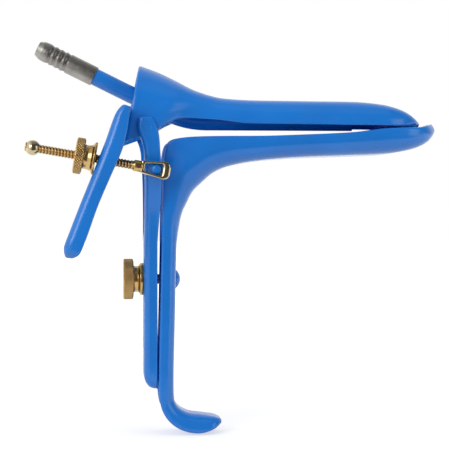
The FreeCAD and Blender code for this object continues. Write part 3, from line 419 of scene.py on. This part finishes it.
def yoke_stations():
    """Channelled slide that widens upward into the two arms and their ears."""
    rim = size("yoke_rim")
    back = size("yoke_back")
    deep = size("yoke_depth")
    half = size("yoke_half_width")
    ear = size("ear_half_width")
    bottom = -size("yoke_bottom")
    fork = -size("arm_fork")
    top = size("ear_top")
    middle = between(bottom, fork, 0.5)
    low_arm, mid_arm, high_arm = (between(half, ear, share) for share in ARM_SPREAD)
    return [
        station(rim + 0.02 * deep, bottom, back + 0.434 * deep, bottom + 0.075 * deep, 0.763 * half, 0.31),
        station(rim, bottom + 0.283 * deep, back + 0.094 * deep, bottom + 0.472 * deep, 0.946 * half, 0.27),
        station(rim, bottom + 0.943 * deep, back, bottom + 1.132 * deep, half, 0.27),
        station(rim, middle, back, middle, half, 0.27),
        station(rim, fork - 0.566 * deep, back, fork - 0.566 * deep, 1.02 * half, 0.27),
        station(rim + 0.13 * deep, ARM_LEVEL[0] * fork, back + 0.03 * deep, ARM_LEVEL[0] * fork,
                low_arm, 0.47 * deep / low_arm),
        station(rim + 0.24 * deep, ARM_LEVEL[1] * fork, back + 0.03 * deep, ARM_LEVEL[1] * fork,
                mid_arm, 0.45 * deep / mid_arm),
        station(rim + 0.2 * deep, ARM_LEVEL[2] * fork, back - 0.02 * deep, ARM_LEVEL[2] * fork,
                high_arm, 0.43 * deep / high_arm),
        station(rim + 0.094 * deep, 0.202 * fork, back - 0.12 * deep, 0.19 * fork, ear, 0.41 * deep / ear),
        station(rim + 0.05 * deep, 0.1 * fork, back - 0.36 * deep, 0.095 * fork, ear, 0.38 * deep / ear),
        station(rim - 0.03 * deep, 0.04 * fork, back - 0.58 * deep, 0.035 * fork, ear, 0.36 * deep / ear),
        station(rim - 0.17 * deep, 0.15 * top, back - 0.6 * deep, 0.1 * top, ear, 0.34 * deep / ear),
        station(rim - 0.38 * deep, 0.72 * top, back - 0.57 * deep, 0.7 * top, ear, 0.34 * deep / ear),
        station(rim - 0.52 * deep, top, back - 0.46 * deep, top - 0.03 * deep, ear, 0.34 * deep / ear),
    ]


def lever_stations():
    """Channelled thumb lever, from its rounded lower end up to the flare.

    Each station has shares of the lever's sizes: its height along the lever, its depth and width, its
    roundness, how far its rim stands behind the lever's line, and how far its crest is below its rim.
    """
    half = size("lever_half_width")
    deep = size("lever_depth")
    angle = math.radians(size("lever_angle"))
    upward = Vector((math.sin(angle), math.cos(angle)))
    backward = Vector((-math.cos(angle), math.sin(angle)))
    foot = Vector((-size("lever_foot_setback"), -size("lever_foot_drop")))
    length = (size("lever_top") + size("lever_foot_drop")) / math.cos(angle)
    stations = []
    for along, depth, width, roundness, setback, lag in (
            (0.0121, 0.4, 0.5, 0.5, 0.24, 0.13), (0.0222, 0.74, 0.76, 0.5, 0.06, 0.1),
            (0.0424, 1, 0.94, 0.5, -0.05, 0.04), (0.101, 1.05, 1, 0.46, -0.06, 0),
            (0.3584, 0.992, 1, 0.46, 0.112, -0.001), (0.529, 1.02, 1, 0.46, 0.131, 0.011),
            (0.738, 1.076, 0.985, 0.46, 0.165, 0.036), (0.8462, 0.961, 0.94, 0.46, 0.366, 0.069),
            (0.9197, 0.749, 0.88, 0.4, 0.585, 0.093), (0.9586, 0.442, 0.815, 0.35, 0.703, 0.026)):
        rim = foot + upward * along * length + backward * setback * deep
        crest = rim + backward * depth * deep - upward * lag * deep
        stations.append(station(rim.x, rim.y, crest.x, crest.y, width * half, roundness))
    return stations


# Node materials


def node_adder(tree):
    """Helper that adds a node to a tree and sets its properties."""
    def add(kind, **values):
        node = tree.nodes.new(kind)
        for key, value in values.items():
            setattr(node, key, value)
        return node
    return add


def new_material(name):
    """Material with its node tree, its shader and a helper that adds nodes."""
    material = bpy.data.materials.new(name)
    material.use_nodes = True
    tree = material.node_tree
    return material, tree, tree.nodes["Principled BSDF"], node_adder(tree)


# Span that a noise texture mostly keeps to

NOISE_LOW = 0.3
NOISE_HIGH = 0.7


def noise(tree, add, scale, detail):
    """Noise in object space with its scale in cycles per metre."""
    place = add("ShaderNodeTexCoord")
    node = add("ShaderNodeTexNoise")
    node.inputs["Scale"].default_value = scale
    node.inputs["Detail"].default_value = detail
    tree.links.new(place.outputs["Object"], node.inputs["Vector"])
    return node


def ramp(tree, add, source, first, last):
    """Colour between two colours that follows a noise."""
    node = add("ShaderNodeValToRGB")
    node.color_ramp.elements[0].position = NOISE_LOW
    node.color_ramp.elements[0].color = (*first, 1)
    node.color_ramp.elements[1].position = NOISE_HIGH
    node.color_ramp.elements[1].color = (*last, 1)
    tree.links.new(source, node.inputs["Fac"])
    return node


def spread(tree, add, source, low, high):
    """Number between low and high that follows a noise."""
    node = add("ShaderNodeMapRange")
    node.inputs["From Min"].default_value = NOISE_LOW
    node.inputs["From Max"].default_value = NOISE_HIGH
    node.inputs["To Min"].default_value = low
    node.inputs["To Max"].default_value = high
    tree.links.new(source, node.inputs["Value"])
    return node


def bump(tree, add, shader, height, distance, strength, edge):
    """Bump from a height in metres, over edges that are rounded softly by the given radius."""
    node = add("ShaderNodeBump")
    node.inputs["Strength"].default_value = strength
    node.inputs["Distance"].default_value = distance
    tree.links.new(height, node.inputs["Height"])
    bevel = add("ShaderNodeBevel", samples=6)
    bevel.inputs["Radius"].default_value = edge
    tree.links.new(bevel.outputs["Normal"], node.inputs["Normal"])
    tree.links.new(node.outputs["Normal"], shader.inputs["Normal"])


DEEP_BLUE = (0.003, 0.188, 0.68)
PALE_BLUE = (0.004, 0.213, 0.75)


def coat_material():
    """Blue insulating coat with a satin gloss, faintly uneven in colour and surface."""
    material, tree, shader, add = new_material("blue_coat")
    clouds = noise(tree, add, 55, 2.0)
    colour = ramp(tree, add, clouds.outputs["Fac"], DEEP_BLUE, PALE_BLUE)
    tree.links.new(colour.outputs["Color"], shader.inputs["Base Color"])
    smear = noise(tree, add, 240, 4.0)
    rough = spread(tree, add, smear.outputs["Fac"], 0.20, 0.27)
    tree.links.new(rough.outputs["Result"], shader.inputs["Roughness"])
    peel = noise(tree, add, 700, 2.0)
    bump(tree, add, shader, peel.outputs["Fac"], 0.000025, 0.5, 0.00035)
    shader.inputs["Specular IOR Level"].default_value = 0.6
    return material


def metal_material(name, dark, light, low, high, groove_shade, marks=0.000006):
    """Bare metal of low to high roughness, with fine tool marks, handling smears and painted shade that
    darkens its grooves.
    """
    material, tree, shader, add = new_material(name)
    clouds = noise(tree, add, 260, 3.0)
    colour = ramp(tree, add, clouds.outputs["Fac"], dark, light)
    # Painted shade: a mask stored on turned pieces darkens their grooves toward the groove colour
    mask = add("ShaderNodeAttribute", attribute_name="groove_shade")
    mix = add("ShaderNodeMix", data_type="RGBA")
    mix.inputs["B"].default_value = (*groove_shade, 1)
    tree.links.new(mask.outputs["Fac"], mix.inputs["Factor"])
    tree.links.new(colour.outputs["Color"], mix.inputs["A"])
    tree.links.new(mix.outputs["Result"], shader.inputs["Base Color"])
    smear = noise(tree, add, 900, 5.0)
    rough = spread(tree, add, smear.outputs["Fac"], low, high)
    tree.links.new(rough.outputs["Result"], shader.inputs["Roughness"])
    fine = noise(tree, add, 3600, 3.0)
    bump(tree, add, shader, fine.outputs["Fac"], marks, 0.4, 0.00012)
    shader.inputs["Metallic"].default_value = 1.0
    return material


COAT = coat_material()
# The groove colours below are painted shade for knurl grooves, thread roots and ridge roots
BRASS = metal_material("brass", dark=(0.57, 0.37, 0.14), light=(0.67, 0.45, 0.185), low=0.16, high=0.26,
                       groove_shade=(0.17, 0.085, 0.028))
POLISHED = metal_material("brass_polished", dark=(0.56, 0.46, 0.28), light=(0.64, 0.54, 0.35),
                          low=0.08, high=0.14, groove_shade=(0.2, 0.11, 0.04), marks=0.000001)
STEEL = metal_material("bare_steel", dark=(0.30, 0.285, 0.265), light=(0.39, 0.375, 0.35),
                       low=0.34, high=0.44, groove_shade=(0.22, 0.21, 0.20))


def finish_piece(item, body, slot, material, *nodes, degrees=32):
    """Shade a piece, give it its material, tie it to its body and hide the CAD nodes it stands for."""
    item.data.shade_smooth()
    item.data.set_sharp_from_angle(angle=math.radians(degrees))
    item.data.materials.clear()
    item.data.materials.append(material)
    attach(item, body)
    if nodes:
        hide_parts(*nodes)


# Blades, yoke and lever


def fork_outline():
    """Opening between the two arms, rounded at its lower end."""
    half = size("yoke_half_width")
    fork = size("arm_fork")
    lip = size("arm_lip")
    inner = half - lip
    wide = size("ear_half_width") - half
    ear = size("ear_half_width") - size("sheet_thickness")
    side = [(0, -fork - 0.4), (0.35 * inner, -fork), (0.75 * inner, -fork + 1.2), (0.95 * inner, -fork + 3.2)]
    side += [(half + share * wide - lip, -level * fork) for level, share in zip(ARM_LEVEL, ARM_SPREAD)]
    side += [(ear, -ARM_LEVEL[-1] * fork), (ear, -3), (ear, 10)]
    places = [0.0]
    for a, b in zip(side, side[1:]):
        places.append(places[-1] + math.dist(a, b))
    smooth = [tuple(row) for row in smooth_rows(places, list(zip(*side)), 60)]
    return smooth + [(-a, b) for a, b in reversed(smooth[1:])]


# Room round a rivet or bolt in its hole and in its slot, and the bolt's height

HOLE_GAP = 0.05
SLOT_GAP = 0.25
BOLT_Z = -size("bolt_drop")


def round_hole(name, radius, steps=40):
    """Tool for the hinge's hole through both sides."""
    return prism(name, arc_points(0, 0, radius, 0, 360 - 360 / steps, steps - 1), "Y", -30, 30)


def bolt_hole():
    """Tool for the square hole in the handle that keeps the height bolt from turning."""
    half = size("bolt_square") / 2 + HOLE_GAP
    low, high = BOLT_Z - half, BOLT_Z + half
    outline = [(-half, low), (half, low), (half, high), (-half, high)]
    front = size("handle_front")
    return prism("bolt_hole", outline, "X", front - 4, front + 2)


def yoke_slot():
    """Tool for the yoke's slot, as long as the height bolt travels in it."""
    half = size("bolt_radius") + SLOT_GAP
    length = size("height_travel") + 2 * (half + SLOT_GAP)
    outline = slot_outline(0, BOLT_Z - size("height_travel") / 2, length, half)
    return prism("slot", outline, "X", -6, 4)


upper = formed_sheet("upper_blade_skin", upper_blade_stations())
cut(upper, round_hole("lug_hole", size("rivet_radius") + HOLE_GAP))
finish_piece(upper, "upper_blade", "blue_coat", COAT, "upper_blade")

lower = formed_sheet("lower_blade_skin", lower_blade_stations())
cut(lower, bolt_hole())
finish_piece(lower, "lower_blade", "blue_coat", COAT, "lower_blade")

yoke = formed_sheet("yoke_skin", yoke_stations())
fork = prism("fork", fork_outline(), "X", -20, 20)
cut(yoke, fork, yoke_slot(), round_hole("ear_hole", size("rivet_radius")))
finish_piece(yoke, "yoke", "blue_coat", COAT, "yoke")


def thumb_lever():
    """Thumb lever with its slot, notched round the wall of the flare."""
    item = formed_sheet("thumb_lever_skin", lever_stations())
    side = Vector((0, -size("screw_side"), 0)) * MM
    item.data.transform(Matrix.Translation(side))
    lean = math.radians(size("lever_angle"))
    rise = math.tan(math.radians(size("screw_angle")))
    back_x = -size("lever_foot_setback") - math.cos(lean) * size("lever_depth")
    back_z = -size("lever_foot_drop") + math.sin(lean) * size("lever_depth")
    run = (-size("lug_height") - back_z - (back_x - size("lug_place")) * rise) / (
        math.cos(lean) + math.sin(lean) * rise)
    run += size("lever_slot_length") / 2 - size("lever_slot_below")
    outline = slot_outline(0, 0, size("lever_slot_length"), size("screw_radius") + 2 * SLOT_GAP)
    slot = prism("lever_slot", outline, "X", -size("lever_depth"), size("lever_depth"))
    middle = Vector((back_x + run * math.sin(lean), 0, back_z + run * math.cos(lean))) * MM
    slot.data.transform(Matrix.Translation(side + middle) @ Matrix.Rotation(lean, 4, "Y"))
    wall = upper.copy()
    wall.data = upper.data.copy()
    bpy.context.scene.collection.objects.link(wall)
    cut(item, slot, wall)
    return item


finish_piece(thumb_lever(), "upper_blade", "blue_coat", COAT, "thumb_lever")

# Turned pieces along a local X axis


def turned(name, profile, steps, depth=None):
    """Surface turned about X from (x, radius) pairs.

    depth(x, angle, radius) may give how far a point of it sinks and how much painted shade it takes for lying
    in a groove.
    """
    rows = []
    groove_shades = []
    for x, radius in profile:
        row = []
        for i in range(steps):
            turn = 2 * math.pi * i / steps
            sink, groove_shade = depth(x, turn, radius) if depth else (0.0, 0.0)
            row.append((x, (radius - sink) * math.cos(turn), (radius - sink) * math.sin(turn)))
            groove_shades.append(groove_shade)
        rows.append(row)
    item = grid_mesh(name, rows, caps=profile[0] != profile[-1])
    # Painted shade: each point's share of groove shade, stored for the metal materials
    mark = item.data.attributes.new("groove_shade", "FLOAT", "POINT")
    mark.data.foreach_set("value", groove_shades)
    face_outward(item, WELD)
    return item


def rounded_profile(corners, radius, steps):
    """Profile through (x, radius) corners with each one rounded."""
    result = [corners[0]]
    for before, here, after in zip(corners, corners[1:], corners[2:]):
        a, b, c = Vector(before), Vector(here), Vector(after)
        reach = min(radius, 0.45 * (a - b).length, 0.45 * (c - b).length)
        first = b + (a - b).normalized() * reach
        last = b + (c - b).normalized() * reach
        for i in range(steps + 1):
            t = i / steps
            point = first * (1 - t) ** 2 + b * 2 * t * (1 - t) + last * t ** 2
            result.append((point.x, point.y))
    return result + [corners[-1]]


def divided(profile, step, start, end):
    """Profile with its level stretches between two places divided into short steps."""
    result = []
    for a, b in zip(profile, profile[1:]):
        level = abs(a[1] - b[1]) < 1e-6 and min(a[0], b[0]) >= start - 1e-6 and max(a[0], b[0]) <= end + 1e-6
        count = max(1, int(abs(b[0] - a[0]) / step)) if level else 1
        result += [(between(a[0], b[0], i / count), between(a[1], b[1], i / count)) for i in range(count)]
    return result + [profile[-1]]


def triangle(value):
    """Wave from 0 to 1 and back with a period of 1."""
    return abs(2 * (value - math.floor(value + 0.5)))


def knurl(start, end, radius, count, deep=0.28, fade=0.3, slope=2.3):
    """Diamond knurl over the span of a disc's rim, which fades out toward both edges."""
    pitch = 2 * math.pi * radius / count

    def depth(x, turn, here):
        if x < start or x > end or here < radius - 0.5:
            return 0.0, 0.0
        edge = min(1.0, (x - start) / fade, (end - x) / fade)
        a = triangle(turn * count / (2 * math.pi) + x / pitch)
        b = triangle(turn * count / (2 * math.pi) - x / pitch)
        low = 1 - min(1.0, slope * min(a, b))
        # The second value is painted shade that darkens the knurl's grooves
        return deep * low * edge, low * edge
    return depth


def thread(start, end, pitch, deep):
    """Screw thread between two places, which runs out over one pitch at each end."""
    def depth(x, turn, here):
        if x < start or x > end:
            return 0.0, 0.0
        edge = min(1.0, (x - start) / pitch, (end - x) / pitch)
        wave = 1 - min(1.0, 1.02 * triangle(x / pitch - turn / (2 * math.pi)))
        # The second value is painted shade that darkens the thread's roots
        return deep * wave * edge, wave * edge
    return depth


def along_x(place, turn_y):
    """Matrix that sets a turned piece at a place and turns it about Y."""
    return Matrix.Translation(Vector(place) * MM) @ Matrix.Rotation(turn_y, 4, "Y")


def on_screw(along):
    """Matrix at a place along the angle screw, its X axis pointing forward."""
    angle = math.radians(size("screw_angle"))
    return along_x((size("lug_place") - math.cos(angle) * along, -size("screw_side"),
                    -size("lug_height") + math.sin(angle) * along), angle)


# Radius of the nuts' edges, and the distance between rings of points over their knurls

NUT_ROUNDING = 0.18
KNURL_STEP = 0.11


def height_nut():
    """Knurled brass nut with its neck and flange."""
    bore, neck, flange, rim, disc, end, gap = 2.0, 5.2, 6.4, 8.05, 3.7, 7.8, 0.15
    corners = [(0, bore), (0, flange - 0.2), (0.2, flange), (1.1, flange), (1.5, 5.6), (1.9, neck),
               (3.3, neck), (disc, 5.6), (disc, rim - 0.4), (disc + 0.4, rim), (end - 0.4, rim),
               (end, rim - 0.4), (end, 5.0), (end - 0.25, 4.2), (end - 0.25, 3.0), (7.2, bore), (0, bore)]
    profile = divided(rounded_profile(corners, NUT_ROUNDING, 3), KNURL_STEP, disc + 0.3, end - 0.3)
    item = turned("height_nut_knurled", profile, 460, knurl(disc + 0.25, end - 0.25, rim, 46))
    item.data.transform(Matrix.Translation(Vector((size("yoke_back") - gap, 0, BOLT_Z)) * MM)
                        @ Matrix.Rotation(math.pi, 4, "Z"))
    return item


def angle_nut():
    """Knurled brass nut whose neck widens to a thin flange."""
    bore, neck, flange, rim, disc, end = 1.8, 4.6, 6.2, 6.85, 3.4, size("angle_nut_length")
    corners = [(0.3, bore), (0.3, 4.2), (0, 4.8), (0, rim - 0.4), (0.4, rim), (disc - 0.4, rim),
               (disc, rim - 0.4), (disc, 5.0), (3.8, neck), (4.97, neck), (6.3, 5.0), (7.1, flange),
               (end, flange), (end, bore), (0.3, bore)]
    profile = divided(rounded_profile(corners, NUT_ROUNDING, 3), KNURL_STEP, 0.3, disc - 0.3)
    item = turned("angle_nut_knurled", profile, 400, knurl(0.25, disc - 0.25, rim, 38))
    item.data.transform(on_screw(size("angle_nut_place") + end))
    return item


finish_piece(height_nut(), "height_nut", "brass", BRASS, "height_nut", degrees=50)
finish_piece(angle_nut(), "angle_nut", "brass", BRASS, "angle_nut", degrees=50)


def screw_rod():
    """Threaded rod of the angle screw with its plain shoulder."""
    radius, shoulder, end, front = size("screw_radius"), 2.15, -50.0, -5.12
    step, count = 0.11, 367
    profile = [(end, 0.0), (end, radius - 0.3), (end + 0.3, radius)]
    profile += [(end + 0.4 + step * i, radius) for i in range(count)]
    profile += [(-9.0, radius), (-8.7, shoulder - 0.1), (-8.4, shoulder), (-6.3, shoulder), (-5.6, 1.9),
                (front, 1.6), (front, 0.0)]
    item = turned("angle_screw_rod", profile, 48, thread(end + 0.5, -9.1, 1.2, 0.36))
    item.data.transform(on_screw(0))
    return item


def reach_of(outline, middle, turn):
    """Distance from a middle point to an outline in one direction."""
    way = Vector((math.cos(turn), math.sin(turn)))
    for a, b in zip(outline, outline[1:] + outline[:1]):
        start, side = Vector(a) - middle, Vector(b) - Vector(a)
        cross = way.x * side.y - way.y * side.x
        if abs(cross) > 1e-9:
            share = (start.x * way.y - start.y * way.x) / cross
            far = (start.x * side.y - start.y * side.x) / cross
            if far > 0 and -1e-9 <= share <= 1 + 1e-9:
                return far
    return 0.0


def screw_loop():
    """Flat loop with a round front that the screw swivels by, rolled over like bent bar."""
    rear, rear_half, front, half, corner, thick = -6.2, 2.3, 5.3, 3.5, 2.3, 1.4
    outer = [(rear, -rear_half)] + arc_points(front - corner, corner - half, corner, -90, 0, 8)
    outer += arc_points(front - corner, half - corner, corner, 0, 90, 8) + [(rear, rear_half)]
    near, far, near_half, far_half, rounding = -4.4, 2.1, 1.5, 2.25, 0.6
    inner = []
    for a, b, start in (
            (far, -far_half, -90), (far, far_half, 0), (near, near_half, 90), (near, -near_half, 180)):
        inner += arc_points(a - math.copysign(rounding, a), b - math.copysign(rounding, b), rounding,
                            start, start + 90, 4)
    middle = Vector(((near + far) / 2, 0))
    steps, ring_steps, squareness = 180, 28, 0.68
    rows = []
    for i in range(steps):
        turn = 2 * math.pi * i / steps
        low, high = reach_of(inner, middle, turn), reach_of(outer, middle, turn)
        row = []
        for k in range(ring_steps):
            angle = 2 * math.pi * k / ring_steps
            across, deep = (math.copysign(abs(wave(angle)) ** squareness, wave(angle))
                            for wave in (math.cos, math.sin))
            reach = between(low, high, (1 + across) / 2)
            row.append((middle.x + math.cos(turn) * reach, thick * deep, math.sin(turn) * reach))
        rows.append(row)
    item = grid_mesh("angle_screw_loop", rows + [rows[0]], caps=False)
    face_outward(item, WELD)
    item.data.transform(on_screw(0))
    return item


finish_piece(screw_rod(), "angle_screw", "brass", BRASS, degrees=60)
finish_piece(screw_loop(), "angle_screw", "brass", POLISHED, "angle_screw", degrees=40)

BALL_RADIUS = 2.9
ball = turned("angle_screw_knob", arc_points(0, 0, BALL_RADIUS, 0, 180, 36), 64)
ball.data.transform(on_screw(size("screw_length")))
finish_piece(ball, "angle_screw", "brass", POLISHED, "angle_screw_ball")


def tube_route():
    """Level run under the roof, bend and slope up out of the flare."""
    slope = math.radians(size("tube_slope"))
    height, corner, radius = size("tube_height"), size("tube_bend_place"), size("tube_bend_radius")
    tangent = radius * math.tan(slope / 2)
    halfway = 60
    route = [(size("tube_end"), height), (halfway, height)]
    route += [(corner + tangent + x, height + z)
              for x, z in arc_points(0, radius, radius, -90, -90 - size("tube_slope"), 16)]
    end_gap = 0.2
    reach = size("barb_place") + size("barb_socket_depth") - end_gap
    return route + [(corner - math.cos(slope) * reach, height + math.sin(slope) * reach)]


def tube_piece(name, route, outer, inner, steps=48):
    """Pipe along a route in the plane of symmetry."""
    rows_out, rows_in = [], []
    for i, point in enumerate(route):
        way = (Vector(route[min(len(route) - 1, i + 1)]) - Vector(route[max(0, i - 1)])).normalized()
        for rows, radius in ((rows_out, outer), (rows_in, inner)):
            ring = arc_points(0, 0, radius, 0, 360 - 360 / steps, steps - 1)
            rows.append([(point[0] - way.y * b, a, point[1] + way.x * b) for a, b in ring])
    item = grid_mesh(name, rows_out + rows_in[::-1] + [rows_out[0]], caps=False)
    face_outward(item, WELD)
    return item


tube = tube_piece("smoke_tube_pipe", tube_route(), size("tube_radius"), size("tube_bore_radius"))
finish_piece(tube, "upper_blade", "blue_coat", COAT, "smoke_tube", degrees=50)


def hose_barb():
    """Turned barb: sleeve, four shallow ridges, tapered nose and its bore."""
    sleeve, root, pitch, plain, end = 3.85, 3.53, 2.3, 11.4, 24.7
    bore, wall, socket = size("tube_bore_radius"), size("tube_radius") + 0.03, size("barb_socket_depth")
    corners = [(0, wall), (0, sleeve), (plain, sleeve)]
    for ridge in range(4):
        start = plain + ridge * pitch
        corners += [(start + 0.04 * pitch, root), (start + 0.35 * pitch, root),
                    (start + 0.65 * pitch, sleeve), (start + 0.95 * pitch, sleeve)]
    corners += [(21.01, sleeve), (22.65, 0.96 * sleeve), (end, 2.75), (end, bore), (socket, bore),
                (socket, wall), (0, wall)]

    def depth(x, turn, radius):
        low = max(0.0, min(1.0, (sleeve - radius) / (sleeve - root)))
        # Painted shade in the roots between the ridges; the sleeve stays plain
        return 0.0, 0.6 * low if plain < x < 21 else 0.0
    item = turned("hose_barb_turned", rounded_profile(corners, 0.4, 5), 120, depth)
    slope = math.radians(size("tube_slope"))
    place = (size("tube_bend_place") - math.cos(slope) * size("barb_place"), 0,
             size("tube_height") + math.sin(slope) * size("barb_place"))
    item.data.transform(along_x(place, math.pi + slope))
    return item


finish_piece(hose_barb(), "upper_blade", "bare_steel", STEEL, "hose_barb", degrees=40)


def swivel_lug():
    """Domed stud on a collar that the screw's loop turns on, in the near arm's coat."""
    stud, collar, step, inner, out = 1.9, 2.9, 2.95, 6.7, 24.0
    corners = [(1.3, 0), (1.45, 1.2), (1.9, stud), (step, stud), (step, collar), (inner, collar), (inner, 0)]
    item = turned("swivel_lug_domed", rounded_profile(corners, 0.3, 4), 64)
    item.data.transform(Matrix.Translation(Vector((size("lug_place"), -out, -size("lug_height"))) * MM)
                        @ Matrix.Rotation(math.pi / 2, 4, "Z"))
    return item


finish_piece(swivel_lug(), "yoke", "blue_coat", COAT, "swivel_lug")

# Materials of the small solids that keep their own shape

SLOTS = {"blue_coat": COAT, "brass": BRASS, "bare_steel": STEEL}
for part in frame["record"]["subparts"]:
    node = frame["nodes"][part["node"]]
    if node.hide_render:
        continue
    node.data.materials.clear()
    node.data.materials.append(SLOTS[part["material_slot"]])

# Floor, light and camera


def seen_rays(tree, add):
    """One for rays from the camera, a mirror or glass, and zero for the rest."""
    path = add("ShaderNodeLightPath")
    first = add("ShaderNodeMath", operation="MAXIMUM")
    second = add("ShaderNodeMath", operation="MAXIMUM")
    tree.links.new(path.outputs["Is Camera Ray"], first.inputs[0])
    tree.links.new(path.outputs["Is Glossy Ray"], first.inputs[1])
    tree.links.new(first.outputs[0], second.inputs[0])
    tree.links.new(path.outputs["Is Transmission Ray"], second.inputs[1])
    return second.outputs[0]


def stage_material():
    """Pale floor that glows where the camera or a mirror sees it, least near the object's shadow."""
    material, tree, shader, add = new_material("stage_white")
    shader.inputs["Base Color"].default_value = (0.72, 0.72, 0.72, 1)
    shader.inputs["Roughness"].default_value = 0.9
    shader.inputs["Specular IOR Level"].default_value = 0.0
    shader.inputs["Emission Color"].default_value = (1, 1, 1, 1)
    place = add("ShaderNodeTexCoord")
    reach = add("ShaderNodeVectorMath", operation="LENGTH")
    tree.links.new(place.outputs["Object"], reach.inputs[0])
    glow = add("ShaderNodeMapRange")
    for key, value in (("From Min", 0.2), ("From Max", 0.6), ("To Min", 0.55), ("To Max", 1.0)):
        glow.inputs[key].default_value = value
    tree.links.new(reach.outputs["Value"], glow.inputs["Value"])
    level = add("ShaderNodeMath", operation="MULTIPLY")
    tree.links.new(seen_rays(tree, add), level.inputs[0])
    tree.links.new(glow.outputs["Result"], level.inputs[1])
    tree.links.new(level.outputs[0], shader.inputs["Emission Strength"])
    return material


# Floor in millimetres: it ends in front of the object, so that the object's flat sides don't mirror it

FLOOR_REACH = 3000
FLOOR_FRONT = -140
FLOOR_GAP = 0.05

level = cad_box[0].z / MM - FLOOR_GAP
corners = [(-FLOOR_REACH, FLOOR_FRONT, level), (FLOOR_REACH, FLOOR_FRONT, level),
           (FLOOR_REACH, FLOOR_REACH, level), (-FLOOR_REACH, FLOOR_REACH, level)]
floor = mesh_object("floor", corners, [(0, 1, 2, 3)])
floor.data.materials.append(stage_material())

# Strength of the light that the world gives, and of what mirrors see in front of and round the object

WORLD_LIGHT = 0.54
ROOM_FRONT = 0.1
ROOM_BRIGHT = 1.0


def studio_world():
    """White behind the object for what the camera and mirrors see, dimmer for the light it gives.

    Mirrors see a studio that is white behind the object and to its left, and darker elsewhere.
    """
    world = bpy.data.worlds.new("studio")
    bpy.context.scene.world = world
    world.use_nodes = True
    tree = world.node_tree
    add = node_adder(tree)
    place = add("ShaderNodeTexCoord")
    parts = add("ShaderNodeSeparateXYZ")
    tree.links.new(place.outputs["Generated"], parts.inputs[0])
    room = add("ShaderNodeMath", operation="MAXIMUM")
    for index, (axis, start, end) in enumerate((("Y", 0.1, 0.7), ("X", -0.1, -0.6))):
        side = add("ShaderNodeMapRange")
        for key, value in (
                ("From Min", start), ("From Max", end), ("To Min", ROOM_FRONT), ("To Max", ROOM_BRIGHT)):
            side.inputs[key].default_value = value
        tree.links.new(parts.outputs[axis], side.inputs["Value"])
        tree.links.new(side.outputs["Result"], room.inputs[index])
    path = add("ShaderNodeLightPath")
    lit = add("ShaderNodeMix", data_type="FLOAT")
    lit.inputs["A"].default_value = WORLD_LIGHT
    tree.links.new(path.outputs["Is Glossy Ray"], lit.inputs["Factor"])
    tree.links.new(room.outputs[0], lit.inputs["B"])
    seen = add("ShaderNodeMath", operation="MAXIMUM")
    tree.links.new(path.outputs["Is Camera Ray"], seen.inputs[0])
    tree.links.new(path.outputs["Is Transmission Ray"], seen.inputs[1])
    level = add("ShaderNodeMix", data_type="FLOAT")
    level.inputs["B"].default_value = 1.0
    tree.links.new(seen.outputs[0], level.inputs["Factor"])
    tree.links.new(lit.outputs["Result"], level.inputs["A"])
    back = tree.nodes["Background"]
    back.inputs["Color"].default_value = (1, 1, 1, 1)
    tree.links.new(level.outputs["Result"], back.inputs["Strength"])


studio_world()


def lamp(name, place, target, size_x, size_y, power):
    """Area lamp aimed at a point, its place and sizes in metres."""
    data = bpy.data.lights.new(name, "AREA")
    data.energy = power
    data.shape = "RECTANGLE"
    data.size = size_x
    data.size_y = size_y
    item = bpy.data.objects.new(name, data)
    item.location = place
    item.rotation_euler = (Vector(target) - Vector(place)).to_track_quat("-Z", "Y").to_euler()
    bpy.context.scene.collection.objects.link(item)


# Lamps, aimed at the object's middle

MIDDLE = (0.03, 0.0, -0.04)
lamp("key", (-0.5, -0.7, 0.3), MIDDLE, 0.5, 0.5, 2.9)
lamp("top", (0.05, -0.1, 0.8), MIDDLE, 0.9, 0.9, 0.5)
lamp("fill", (0.75, -0.45, 0.05), MIDDLE, 0.4, 0.6, 1.0)

# Camera, matched to the photograph: lengths in millimetres, picture sizes in pixels

MM_PER_PIXEL = 0.395
PICTURE = 450
SENSOR = 36
DISTANCE = 570
LOWERED = 20
AIM = (31.51, 0, -29.85)
TURN = math.radians(-5)

camera = bpy.data.cameras.new("camera")
camera.sensor_width = SENSOR
camera.lens = SENSOR * DISTANCE / MM_PER_PIXEL / PICTURE
camera.shift_y = -LOWERED / PICTURE
camera.clip_start = 0.01
camera.clip_end = 20
view = bpy.data.objects.new("camera", camera)
way = Vector((-math.sin(TURN), math.cos(TURN), 0))
view.location = (Vector(AIM) - way * DISTANCE) * MM
view.rotation_euler = way.to_track_quat("-Z", "Y").to_euler()
bpy.context.scene.collection.objects.link(view)
bpy.context.scene.camera = view

bpy.context.scene.view_settings.view_transform = "Standard"

bpy.context.view_layer.update()
